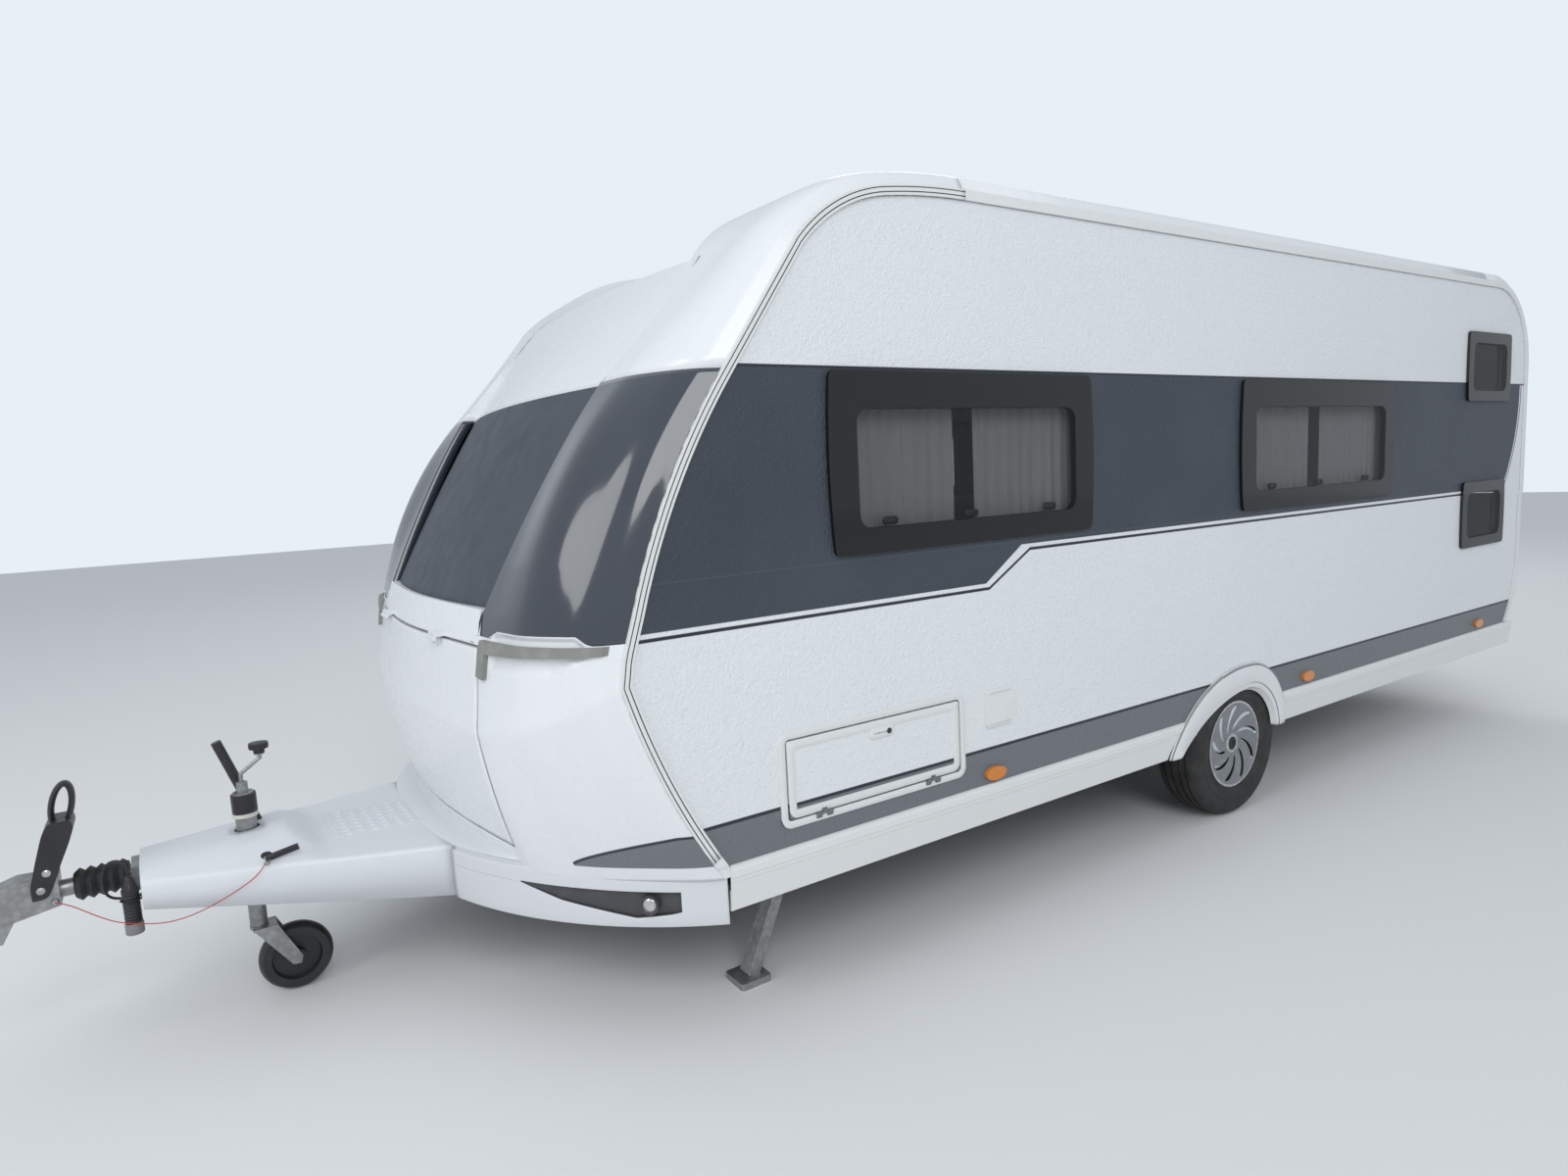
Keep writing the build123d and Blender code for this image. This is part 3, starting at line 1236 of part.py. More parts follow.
with BuildPart() as coupling_handle:
    with BuildSketch(Plane.XZ.offset(58)):
        with BuildLine():
            Polyline(
                (at(4262), 505),
                (at(4228), 505),
                (at(4130), 800),
                (at(4146), 830),
                (at(4190), 830),
                (at(4200), 800),
                (at(4215), 700),
                (at(4262), 540),
                close=True,
            )
        make_face()
    extrude(amount=-116)
    add(block(4100, 4300, -45 - SEAT, 45 + SEAT, 400, 640), mode=Mode.SUBTRACT)
save(coupling_handle.part, "coupling_handle")

with BuildPart() as drawbar_bellows:
    with BuildSketch(Plane(origin=(at(0), 0, COUPLING_Z), x_dir=(1, 0, 0), z_dir=(0, -1, 0))):
        with BuildLine():
            ridges = [(4035 + 13 * k, 48 if k % 2 else 38) for k in range(11)]
            points = [(4032, 38), *ridges, (4168, 34), (4168, SHAFT_R + SEAT), (4032, SHAFT_R + SEAT)]
            Polyline(*points, close=True)
        make_face()
    revolve(axis=Axis((at(0), 0, COUPLING_Z), (1, 0, 0)))
save(drawbar_bellows.part, "drawbar_bellows")

with BuildPart() as handbrake_lever:
    with BuildSketch(Plane(origin=(at(3648), -60, 470.3), z_dir=(125, 0, 380))):
        Circle(11)
    extrude(amount=190)
    with BuildSketch(Plane(origin=(at(3703), -60, 637), z_dir=(125, 0, 380))):
        Circle(15)
    extrude(amount=224)
    add(block(3600, 3720, -90, -30, 400, 470.3), mode=Mode.SUBTRACT)
save(handbrake_lever.part, "handbrake_lever")


def steady(name, pivot_x, side, foot_way, angle):
    """A channel leg with its foot plate, hanging from its pivot at angle below level."""
    a = radians(angle)
    along = Vector(foot_way * cos(a), 0, -sin(a))
    tip = Vector(at(pivot_x), side * LEG_Y, LEG_PIVOT_Z) + along * LEG_LENGTH
    plane = Plane(origin=(at(pivot_x), side * LEG_Y, LEG_PIVOT_Z), x_dir=(0, 1, 0), z_dir=along)
    rest_a = radians(66.0)
    with BuildPart() as made:
        with BuildSketch(plane.offset(-16)):
            RectangleRounded(58, 40, 3)
        extrude(amount=LEG_LENGTH + 6)
        with BuildSketch(plane.offset(30)):
            with Locations((0, -foot_way * 4)):
                Rectangle(46, 40)
        extrude(amount=LEG_LENGTH, mode=Mode.SUBTRACT)
        with BuildSketch(Plane.XZ.offset(-side * LEG_Y + 40)):
            with Locations((at(pivot_x), LEG_PIVOT_Z)):
                Circle(LEG_PIN_R + SEAT)
        extrude(amount=-80, mode=Mode.SUBTRACT)
        turn = degrees(rest_a - a) * foot_way
        pad_plane = Plane(
            origin=tip, x_dir=(cos(radians(turn)), 0, sin(radians(turn)) * 1), z_dir=(-sin(radians(turn)), 0, cos(radians(turn)))
        )
        with BuildSketch(pad_plane.offset(-11.15)):
            RectangleRounded(FOOT_SIZE, FOOT_SIZE, 12)
        extrude(amount=FOOT_T)
    save(made.part, name)
    return made.part


for row in [
    ("steady_front_left", STEADY_FRONT_X, 1, 1, 66.0),
    ("steady_front_right", STEADY_FRONT_X, -1, 1, 66.0),
    ("steady_rear_left", STEADY_REAR_X, 1, -1, 6.0),
    ("steady_rear_right", STEADY_REAR_X, -1, -1, 6.0),
]:
    steady(*row)
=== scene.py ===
"""Looks of a single-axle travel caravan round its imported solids. Metres, +X to the hitch, +Y left, +Z up."""
import bmesh
import bpy
import numpy as np
from math import cos, pi, radians, sin
from mathutils import Matrix, Vector


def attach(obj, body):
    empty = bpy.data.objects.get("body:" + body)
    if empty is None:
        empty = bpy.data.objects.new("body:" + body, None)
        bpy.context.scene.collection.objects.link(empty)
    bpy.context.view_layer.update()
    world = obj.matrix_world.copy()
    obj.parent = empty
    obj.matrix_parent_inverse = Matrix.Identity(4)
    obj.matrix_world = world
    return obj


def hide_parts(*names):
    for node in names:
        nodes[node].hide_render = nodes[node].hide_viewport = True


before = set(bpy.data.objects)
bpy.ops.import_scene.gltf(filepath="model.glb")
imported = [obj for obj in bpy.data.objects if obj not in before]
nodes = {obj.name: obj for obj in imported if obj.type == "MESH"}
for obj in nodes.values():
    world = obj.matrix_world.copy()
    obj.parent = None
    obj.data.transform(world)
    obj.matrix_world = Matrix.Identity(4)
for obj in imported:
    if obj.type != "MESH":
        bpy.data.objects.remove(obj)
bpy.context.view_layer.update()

# Driving sizes. X counts from the axle and grows towards the hitch, Z counts from the ground.
AXLE_X, AXLE_Z = -0.740, 0.320
WALL_Y = 1.140
BODY_FOOT = 0.470
# Y of the wheel covers' outermost faces
WHEEL_OUT = 1.1195
# Openings in the sides: first and last X, lowest and highest Z
HATCH = (1.698, 2.390, 0.588, 0.825)
CASSETTE = (-2.420, -2.040, 0.620, 0.930)
FLAP = (1.442, 1.569, 0.708, 0.836)
SIDES = ((1, "left"), (-1, "right"))


def at(x):
    """Row X of a place given from the axle."""
    return AXLE_X + x


# Camera, solved from the photograph
CAMERA_PLACE = Vector((at(3.8385), 3.3726, 1.6017))
CAMERA_YAW, CAMERA_PITCH, CAMERA_ROLL = radians(-123.412), radians(-6.898), radians(-2.954)
FOCAL_PIXELS, PICTURE_WIDTH, SENSOR = 950.83, 1600, 36.0


def add_camera():
    """The photograph's camera: its axes from yaw, pitch and roll, and its lens from the focal length."""
    yaw, pitch, roll = CAMERA_YAW, CAMERA_PITCH, CAMERA_ROLL
    ahead = Vector((cos(yaw) * cos(pitch), sin(yaw) * cos(pitch), sin(pitch)))
    level = Vector((sin(yaw), -cos(yaw), 0.0))
    lift = level.cross(ahead)
    right = cos(roll) * level + sin(roll) * lift
    up = -sin(roll) * level + cos(roll) * lift
    data = bpy.data.cameras.new("camera")
    data.sensor_width = SENSOR
    data.lens = SENSOR * FOCAL_PIXELS / PICTURE_WIDTH
    camera = bpy.data.objects.new("camera", data)
    camera.matrix_world = Matrix(
        (
            (right.x, up.x, -ahead.x, CAMERA_PLACE.x),
            (right.y, up.y, -ahead.y, CAMERA_PLACE.y),
            (right.z, up.z, -ahead.z, CAMERA_PLACE.z),
            (0, 0, 0, 1),
        )
    )
    bpy.context.scene.collection.objects.link(camera)
    bpy.context.scene.camera = camera


class Value:
    """A number that varies over a surface; arithmetic on it adds Math nodes."""

    def __init__(self, finish, socket):
        self.finish = finish
        self.socket = socket

    def math(self, operation, *others, clamp=False):
        made = self.finish.tree.nodes.new("ShaderNodeMath")
        made.operation = operation
        made.use_clamp = clamp
        for place, value in zip(made.inputs, (self, *others)):
            self.finish.feed(place, value)
        return Value(self.finish, made.outputs[0])

    def __add__(self, other):
        return self.math("ADD", other)

    __radd__ = __add__

    def __mul__(self, other):
        return self.math("MULTIPLY", other)

    __rmul__ = __mul__

    def __sub__(self, other):
        return self.math("SUBTRACT", other)

    def __rsub__(self, other):
        return (self * -1.0).math("ADD", other)

    def __truediv__(self, other):
        return self.math("DIVIDE", other)

    def __abs__(self):
        return self.math("ABSOLUTE")

    def __pow__(self, other):
        return self.math("POWER", other)

    def least(self, other):
        return self.math("MINIMUM", other)

    def most(self, other):
        return self.math("MAXIMUM", other)

    def clamped(self):
        return self.math("ADD", 0.0, clamp=True)

    def ramp(self, low, high, to_low=0.0, to_high=1.0):
        """This value carried from the range low..high to to_low..to_high, held at both ends."""
        inputs = {"Value": self, "From Min": low, "From Max": high, "To Min": to_low, "To Max": to_high}
        made = self.finish.node("MapRange", inputs)
        return Value(self.finish, made.outputs["Result"])

    def above(self, edge, soft=0.0012):
        """1 where this value is over the edge, 0 under it."""
        return (self - edge).ramp(-soft, soft)

    def below(self, edge, soft=0.0012):
        """1 where this value is under the edge, 0 over it."""
        return (self - edge).ramp(soft, -soft)


class Finish:
    """A material whose nodes are written as expressions."""

    def __init__(self, name, **sockets):
        self.material = bpy.data.materials.new(name)
        self.material.use_nodes = True
        self.tree = self.material.node_tree
        self.tree.nodes.clear()
        self.output = self.tree.nodes.new("ShaderNodeOutputMaterial")
        self.shader = self.tree.nodes.new("ShaderNodeBsdfPrincipled")
        self.tree.links.new(self.shader.outputs[0], self.output.inputs["Surface"])
        for socket, value in sockets.items():
            self.set(socket.replace("_", " ").title().replace("Ior", "IOR"), value)

    def feed(self, place, value):
        """Link a value to a socket, or set the number or colour there."""
        if isinstance(value, Value):
            self.tree.links.new(value.socket, place)
        elif isinstance(value, bpy.types.NodeSocket):
            self.tree.links.new(value, place)
        elif place.type == "RGBA":
            place.default_value = (*value[:3], 1.0)
        else:
            place.default_value = value

    def set(self, socket, value):
        self.feed(self.shader.inputs[socket], value)

    def node(self, kind, inputs=None, **settings):
        """Any other node: its settings first, then what its sockets take."""
        made = self.tree.nodes.new("ShaderNode" + kind)
        for name, value in settings.items():
            setattr(made, name, value)
        for name, value in (inputs or {}).items():
            self.feed(made.inputs[name], value)
        return made

    def spot(self):
        return self.node("TexCoord").outputs["Object"]

    def places(self):
        """X from the axle, Y and Z as values."""
        parts = self.node("SeparateXYZ", {0: self.spot()}).outputs
        return Value(self, parts[0]) - AXLE_X, Value(self, parts[1]), Value(self, parts[2])

    def across(self):
        """The piece's own UV as two values."""
        parts = self.node("SeparateXYZ", {0: self.node("TexCoord").outputs["UV"]}).outputs
        return Value(self, parts[0]), Value(self, parts[1])

    def noise(self, scale, detail=2.0, rough=0.5):
        inputs = {"Vector": self.spot(), "Scale": scale, "Detail": detail, "Roughness": rough}
        made = self.node("TexNoise", inputs)
        return Value(self, made.outputs[0])

    def cells(self, scale, feature="F1", **inputs):
        made = self.node("TexVoronoi", {"Vector": self.spot(), "Scale": scale, **inputs}, feature=feature)
        return Value(self, made.outputs["Distance"])

    def mixed(self, factor, first, second):
        """Colour first where factor is 0, second where it is 1."""
        made = self.node("Mix", data_type="RGBA")
        self.feed(made.inputs[0], factor)
        self.feed(made.inputs[6], first)
        self.feed(made.inputs[7], second)
        return made.outputs[2]

    def bump(self, height, distance, strength):
        made = self.node("Bump", {"Height": height, "Distance": distance, "Strength": strength})
        self.tree.links.new(made.outputs[0], self.shader.inputs["Normal"])

    def wear(self, *names):
        """Give these CAD nodes this finish."""
        for name in names:
            mesh = nodes[name].data
            mesh.materials.clear()
            mesh.materials.append(self.material)

    def dress(self, piece):
        """Give a made piece this finish alone."""
        piece.data.materials.clear()
        piece.data.materials.append(self.material)


# Colours, as seen in daylight on the real caravan
WHITE = (0.80, 0.82, 0.84)
CREAM = (0.78, 0.79, 0.78)
SLATE = (0.040, 0.050, 0.068)
STRIPE = (0.16, 0.175, 0.19)
LINE = (0.018, 0.022, 0.032)
SMOKE = (0.012, 0.013, 0.016)
TAUPE = (0.30, 0.29, 0.27)
OLIVE = (0.23, 0.235, 0.215)

# Livery on the side, from the axle and from the ground
BAND_TOP = 1.909
BAND_LOW, BAND_HIGH = 1.203, 1.321
STEP_FRONT, STEP_BACK = 1.547, 1.370
LINE_STEP_FRONT, LINE_STEP_BACK = 1.532, 1.328
LINE_DROP, LINE_HALF = 0.018, 0.0052
TOP_LINE_HALF = 0.004
STRIPE_TOP, STRIPE_LINE_UP, STRIPE_LINE_HALF = 0.625, 0.004, 0.0055
BAND_TAIL, BAND_TAIL_LOW, TAIL_BEND, TAIL_LINE_END = -2.905, -2.71, 2.2, -0.016
SEAM_Z, SEAM_HALF = 1.333, 0.0012
SHEET_THICKNESS = 0.002


def side_sheet():
    """Hammered white side sheet with the slate band, its step line and the lower grey stripe."""
    paint = Finish("side_sheet", roughness=0.34, specular_ior_level=0.5)
    x, y, z = paint.places()
    edge = x.ramp(STEP_BACK, STEP_FRONT, BAND_HIGH, BAND_LOW)
    fall = ((BAND_TOP - z) / (BAND_TOP - BAND_HIGH)).clamped()
    tail = BAND_TAIL + (fall ** TAIL_BEND) * (BAND_TAIL_LOW - BAND_TAIL)
    past_tail = x - tail
    band = z.above(edge) * z.below(BAND_TOP) * past_tail.above(0.0)
    line_edge = x.ramp(LINE_STEP_BACK, LINE_STEP_FRONT, BAND_HIGH - LINE_DROP, BAND_LOW - LINE_DROP)
    line = abs(z - line_edge).below(LINE_HALF) * past_tail.above(TAIL_LINE_END)
    tail_line = abs(past_tail + LINE_DROP).below(LINE_HALF) * z.above(line_edge) * z.below(BAND_TOP)
    line = line.most(tail_line)
    stripe = z.below(STRIPE_TOP)
    stripe_line = abs(z - STRIPE_TOP - STRIPE_LINE_UP).below(STRIPE_LINE_HALF)
    top_line = abs(z - BAND_TOP).below(TOP_LINE_HALF)
    seam = abs(z - SEAM_Z).below(SEAM_HALF) * band
    sheet = 1 - abs(y).below(WALL_Y - SHEET_THICKNESS, 0.0004)
    dark = ((line.most(stripe_line)).most(top_line)) * sheet
    band = band * sheet
    stripe = stripe * sheet
    grime = paint.noise(1.7, 4.0, 0.6).ramp(0.42, 0.75, 0.0, 0.05)
    colour = paint.mixed(grime, WHITE, (0.62, 0.63, 0.60))
    shade = paint.noise(2.3, 3.0).ramp(0.3, 0.7, 0.0, 1.0)
    slate = paint.mixed(shade, SLATE, (0.052, 0.063, 0.083))
    colour = paint.mixed(band, colour, slate)
    colour = paint.mixed(stripe, colour, STRIPE)
    colour = paint.mixed(dark, colour, LINE)
    colour = paint.mixed(seam * 0.5, colour, (0.10, 0.115, 0.14))
    paint.set("Base Color", colour)
    paint.set("Roughness", sheet * (0.06 + band * 0.10) + 0.30)
    hammer = paint.cells(150.0, "SMOOTH_F1", Smoothness=0.6)
    drift = paint.noise(60.0, 2.0, 0.55)
    paint.bump((hammer * 0.8 + drift * 1.1) * sheet, 0.0028, 0.9)
    return paint


PEEL_STRENGTH = 0.025


def moulded(name, colour=WHITE, rough=0.26):
    """Glossy glass-fibre moulding with a faint ripple and a little road film."""
    paint = Finish(name, roughness=rough, specular_ior_level=0.5, coat_weight=0.2, coat_roughness=0.14)
    film = paint.noise(1.3, 5.0, 0.6).ramp(0.45, 0.8, 0.0, 0.07)
    paint.set("Base Color", paint.mixed(film, colour, (0.60, 0.60, 0.56)))
    paint.set("Roughness", paint.noise(9.0, 3.0).ramp(0.3, 0.7, rough - 0.01, rough + 0.04))
    paint.bump(paint.noise(24.0, 1.0), 0.0003, PEEL_STRENGTH)
    return paint


# The swoosh on the nose: its foot, how high it grows, where across it starts and is full, and its dark line
SWOOSH_FOOT, SWOOSH_RISE = 0.516, 0.098
SWOOSH_START, SWOOSH_FULL, SWOOSH_EDGE = 0.865, 1.12, 0.868
SWOOSH_LINE_UP, SWOOSH_LINE_HALF = 0.003, 0.0045


def nose_moulding():
    """The lower front moulding: white, with the grey swoosh and its dark top line on both corners."""
    paint = moulded("nose_moulding")
    _, y, z = paint.places()
    side = abs(y)
    top = side.ramp(SWOOSH_START, SWOOSH_FULL) ** 0.75 * SWOOSH_RISE + SWOOSH_FOOT
    swoosh = z.below(top) * z.above(SWOOSH_FOOT) * side.above(SWOOSH_EDGE)
    line = abs(z - top - SWOOSH_LINE_UP).below(SWOOSH_LINE_HALF) * side.above(SWOOSH_EDGE)
    white = paint.shader.inputs["Base Color"].links[0].from_socket
    colour = paint.mixed(swoosh, white, STRIPE)
    paint.set("Base Color", paint.mixed(line, colour, LINE))
    return paint


def slate_sheet():
    """The matt middle pane of the front."""
    paint = Finish("slate_sheet", roughness=0.55, specular_ior_level=0.35)
    cloud = paint.noise(3.0, 4.0).ramp(0.3, 0.7, 0.0, 1.0)
    paint.set("Base Color", paint.mixed(cloud, (0.060, 0.070, 0.090), (0.072, 0.084, 0.106)))
    paint.set("Roughness", paint.noise(14.0, 3.0).ramp(0.3, 0.7, 0.48, 0.62))
    paint.bump(paint.noise(420.0, 2.0), 0.0004, 0.6)
    return paint


def slate_gloss():
    """The glossy corner panes."""
    paint = Finish(
        "slate_gloss", roughness=0.10, specular_ior_level=0.6, coat_weight=0.5, coat_roughness=0.03
    )
    cloud = paint.noise(2.0, 3.0).ramp(0.3, 0.7, 0.0, 1.0)
    paint.set("Base Color", paint.mixed(cloud, (0.040, 0.047, 0.062), (0.050, 0.058, 0.076)))
    paint.set("Roughness", paint.noise(6.0, 3.0).ramp(0.3, 0.7, 0.07, 0.15))
    paint.bump(paint.noise(30.0, 1.0), 0.0005, 0.15)
    return paint


def galvanised(name="galvanised", tone=0.42, rough=0.42):
    """Hot-dip zinc with its spangle, dulled in places."""
    paint = Finish(name, metallic=1.0, roughness=rough)
    spangle = paint.cells(55.0)
    dull = paint.noise(18.0, 4.0).ramp(0.35, 0.7, 0.0, 1.0)
    bright = tuple(tone * k for k in (1.0, 1.02, 1.04))
    dark = tuple(tone * k for k in (0.62, 0.62, 0.61))
    paint.set("Base Color", paint.mixed((spangle * 0.8 + dull * 0.5).clamped(), bright, dark))
    paint.set("Roughness", dull * 0.22 + rough - 0.08)
    paint.set("Metallic", 0.85 - dull * 0.35)
    paint.bump(paint.noise(120.0, 3.0), 0.0006, 0.5)
    return paint


def plastic(name, colour, rough=0.45):
    """Moulded plastic, a little faded in places, with a fine grain."""
    paint = Finish(name, roughness=rough)
    faded = tuple(min(1.0, c * 1.5 + 0.01) for c in colour)
    paint.set("Base Color", paint.mixed(paint.noise(22.0, 4.0).ramp(0.45, 0.8, 0.0, 0.5), colour, faded))
    paint.set("Roughness", paint.noise(30.0, 3.0).ramp(0.3, 0.7, rough - 0.06, rough + 0.1))
    paint.bump(paint.noise(260.0, 2.0), 0.0004, 0.6)
    return paint


def tyre_rubber():
    """Black rubber with dust on it."""
    paint = Finish("tyre_rubber", roughness=0.75)
    dust = paint.noise(16.0, 5.0, 0.65).ramp(0.4, 0.75, 0.0, 0.6)
    paint.set("Base Color", paint.mixed(dust, (0.018, 0.018, 0.019), (0.075, 0.070, 0.062)))
    paint.set("Roughness", dust * 0.15 + 0.68)
    paint.bump(paint.noise(300.0, 3.0), 0.0005, 0.5)
    return paint


LENS_WAVES = 840.0


def lens(name, colour):
    """A ribbed lamp lens: its ribs are the product of two sines, and its colour is darker in their troughs, a
    painted shade.
    """
    paint = Finish(name, roughness=0.12, coat_weight=0.6, coat_roughness=0.03)
    x, _, z = paint.places()
    wave = (x * LENS_WAVES).math("SINE") * (z * LENS_WAVES).math("SINE")
    # Darker colour in the ribs' troughs and lighter on their crests: painted shade
    deep = tuple(c * 0.55 for c in colour)
    paint.set("Base Color", paint.mixed(wave.ramp(-1.0, 1.0), deep, colour))
    paint.bump(wave, 0.0004, 0.5)
    return paint


# Panes as first and last X, lowest and highest Z
WINDOW_PANES = {
    "left": [(1.010, 2.180, 1.350, 1.900), (-1.310, 0.020, 1.350, 1.900)],
    "left_small": [(-2.720, -2.170, 1.813, 2.188), (-2.700, -2.150, 1.000, 1.367)],
    "right": [(1.420, 2.190, 1.350, 1.900), (-0.900, 0.030, 1.400, 1.900)],
    "right_small": [(-2.350, -1.950, 1.500, 1.900)],
    "door": [(0.690, 1.090, 1.480, 1.900)],
}
# Black borders of a pane: at its first X, its last X, its foot and its top
LARGE_BORDER, SMALL_BORDER = (0.085, 0.095, 0.078, 0.112), (0.055, 0.055, 0.055, 0.06)
CLEAR_CORNER, CLEARNESS = 0.045, 0.66


def rounded(x, z, bounds, corner):
    """Distance outwards from a rectangle with round corners; negative inside."""
    x0, x1, z0, z1 = bounds
    across = abs(x - (x0 + x1) / 2) - ((x1 - x0) / 2 - corner)
    along = abs(z - (z0 + z1) / 2) - ((z1 - z0) / 2 - corner)
    outside = (across.most(0.0) ** 2.0 + along.most(0.0) ** 2.0).math("SQRT")
    return outside + across.most(along).least(0.0) - corner


def window_acrylic():
    """Smoky acrylic: black where it is bonded to the frame, see-through in the middle."""
    paint = Finish("window_acrylic", roughness=0.06, specular_ior_level=0.6)
    x, y, z = paint.places()
    clear = None
    right_side = y.below(0.0)
    for group, panes in WINDOW_PANES.items():
        first, last, low, high = LARGE_BORDER if group in ("left", "right") else SMALL_BORDER
        for x0, x1, z0, z1 in panes:
            bounds = (x0 + first, x1 - last, z0 + low, z1 - high)
            zone = rounded(x, z, bounds, CLEAR_CORNER).below(0.0, 0.002)
            zone = zone * (1 - right_side if group.startswith("left") else right_side)
            clear = zone if clear is None else clear.most(zone)
    paint.set("Base Color", paint.mixed(clear, (0.006, 0.006, 0.007), SMOKE))
    paint.set("Alpha", 1 - clear * CLEARNESS)
    paint.bump(paint.noise(5.0, 2.0), 0.004, 0.10)
    return paint


WEAVE_WAVES = 2400.0


def cloth_sheer():
    """Sheer curtain cloth with a fine weave: two sines across each other."""
    paint = Finish("cloth_sheer", roughness=0.9, sheen_weight=0.3)
    u, v = paint.across()
    weave = (u * WEAVE_WAVES).math("SINE") * (v * WEAVE_WAVES).math("SINE")
    paint.set("Base Color", paint.mixed(weave.ramp(-1.0, 1.0), (0.56, 0.56, 0.57), (0.70, 0.70, 0.71)))
    return paint


def floor_finish():
    """Pale studio floor."""
    return Finish("floor_pale", roughness=0.85, specular_ior_level=0.2, base_color=(0.80, 0.80, 0.80))


# Sky colour, and its strength as a light and as the camera sees it
SKY, SKY_LIGHT, SKY_SEEN = (0.86, 0.93, 1.0, 1.0), 0.62, 0.93
FLOOR_REACH = 30.0
# Place, aim, size and watts of each lamp
LAMPS = {
    "lamp_key": ((4.5, 9.0, 7.0), (0, 0, 1.2), 6.0, 340.0),
    "lamp_front": ((9.5, 2.0, 5.5), (1.5, 0, 1.0), 5.0, 190.0),
    "lamp_back": ((-8.0, -7.0, 7.5), (0, 0, 1.5), 6.0, 260.0),
}


def add_stage():
    """The floor, the sky and the lamps."""
    world = bpy.data.worlds.new("sky")
    bpy.context.scene.world = world
    world.use_nodes = True
    tree = world.node_tree
    tree.nodes.clear()
    output = tree.nodes.new("ShaderNodeOutputWorld")
    background = tree.nodes.new("ShaderNodeBackground")
    background.inputs["Color"].default_value = SKY
    rays = tree.nodes.new("ShaderNodeLightPath")
    seen = tree.nodes.new("ShaderNodeMath")
    seen.operation = "MAXIMUM"
    tree.links.new(rays.outputs["Is Camera Ray"], seen.inputs[0])
    tree.links.new(rays.outputs["Is Transmission Ray"], seen.inputs[1])
    level = tree.nodes.new("ShaderNodeMapRange")
    level.inputs["To Min"].default_value = SKY_LIGHT
    level.inputs["To Max"].default_value = SKY_SEEN
    tree.links.new(seen.outputs[0], level.inputs["Value"])
    tree.links.new(level.outputs["Result"], background.inputs["Strength"])
    tree.links.new(background.outputs[0], output.inputs["Surface"])
    ends = np.array([-FLOOR_REACH, FLOOR_REACH])
    x, y = np.meshgrid(ends, ends, indexing="ij")
    floor = grid_piece("floor", np.stack([x, y, 0 * x], -1))
    floor_finish().dress(floor)
    for name, (place, aim, size, power) in LAMPS.items():
        data = bpy.data.lights.new(name, "AREA")
        data.shape = "DISK"
        data.size = size
        data.energy = power
        lamp = bpy.data.objects.new(name, data)
        lamp.location = place
        lamp.rotation_euler = (Vector(aim) - Vector(place)).to_track_quat("-Z", "Y").to_euler()
        bpy.context.scene.collection.objects.link(lamp)
    bpy.context.scene.view_settings.view_transform = "Standard"


def grid_piece(
    name, points, round_u=False, round_v=False, inward=False, caps=(False, False), uv=None, keep=None
):
    """A mesh from a grid of points [u, v, xyz]: a quad for each cell that keep keeps, wrapped where round.

    A cap is a flat face over the first or the last row.
    """
    points = np.asarray(points, float)
    nu, nv = points.shape[:2]
    us, vs = np.arange(nu if round_u else nu - 1), np.arange(nv if round_v else nv - 1)
    i, j = np.meshgrid(us, vs, indexing="ij")
    k, m = (i + 1) % nu, (j + 1) % nv
    quads = np.stack([i * nv + j, k * nv + j, k * nv + m, i * nv + m], axis=-1).reshape(-1, 4)
    if keep is not None:
        quads = quads[keep.ravel()]
    if inward:
        quads = quads[:, ::-1]
    faces = quads.tolist()
    ring = np.arange(nv)
    if caps[0]:
        faces.append((ring[::-1] if inward else ring).tolist())
    if caps[1]:
        last = (nu - 1) * nv + ring
        faces.append((last if inward else last[::-1]).tolist())
    mesh = bpy.data.meshes.new(name)
    mesh.from_pydata(points.reshape(-1, 3).tolist(), [], faces)
    if uv is not None:
        layer = mesh.uv_layers.new(name="flat")
        loops = np.zeros(len(mesh.loops), np.int32)
        mesh.loops.foreach_get("vertex_index", loops)
        layer.data.foreach_set("uv", np.asarray(uv, float).reshape(-1, 2)[loops].ravel())
    mesh.validate()
    mesh.update()
    piece = bpy.data.objects.new(name, mesh)
    bpy.context.scene.collection.objects.link(piece)
    return piece


def smooth(piece, angle):
    """Smooth shading, with an edge left sharp where its faces turn by more than the angle."""
    piece.data.shade_smooth()
    piece.data.set_sharp_from_angle(angle=radians(angle))
    return piece


# Front skin: X and Z of its ten levels from the roof down to the foot, by the distance from the middle.
# X counts from the axle, all in millimetres, as in the solids' source.
FRONT_ROWS = {
    0: [
        1605, 2552, 2010, 2506, 2380, 2305, 2760, 1900, 2962, 1572,
        3131, 1257, 3172, 1155, 3221, 930, 3195, 720, 3112, 470,
    ],
    700: [
        1605, 2543, 2000, 2503, 2375, 2285, 2722, 1900, 2930, 1565,
        3083, 1257, 3118, 1155, 3156, 918, 3125, 720, 3043, 470,
    ],
    890: [
        1605, 2537, 1992, 2501, 2372, 2268, 2712, 1900, 2948, 1560,
        3066, 1257, 3090, 1155, 3096, 940, 3030, 726, 2912, 470,
    ],
    1050: [
        1605, 2531, 1985, 2496, 2325, 2313, 2650, 1900, 2872, 1553,
        2985, 1257, 3006, 1154, 2992, 1000, 2890, 740, 2745, 470,
    ],
    1115: [
        1605, 2516, 1958, 2488, 2303, 2295, 2590, 1900, 2804, 1549,
        2915, 1257, 2938, 1152, 2937, 1045, 2822, 752, 2662, 470,
    ],
    1140: [
        1605, 2470, 1939, 2446, 2271, 2265, 2531, 1900, 2737, 1546,
        2845, 1257, 2880, 1150, 2893, 1070, 2778, 760, 2618, 470,
    ],
}
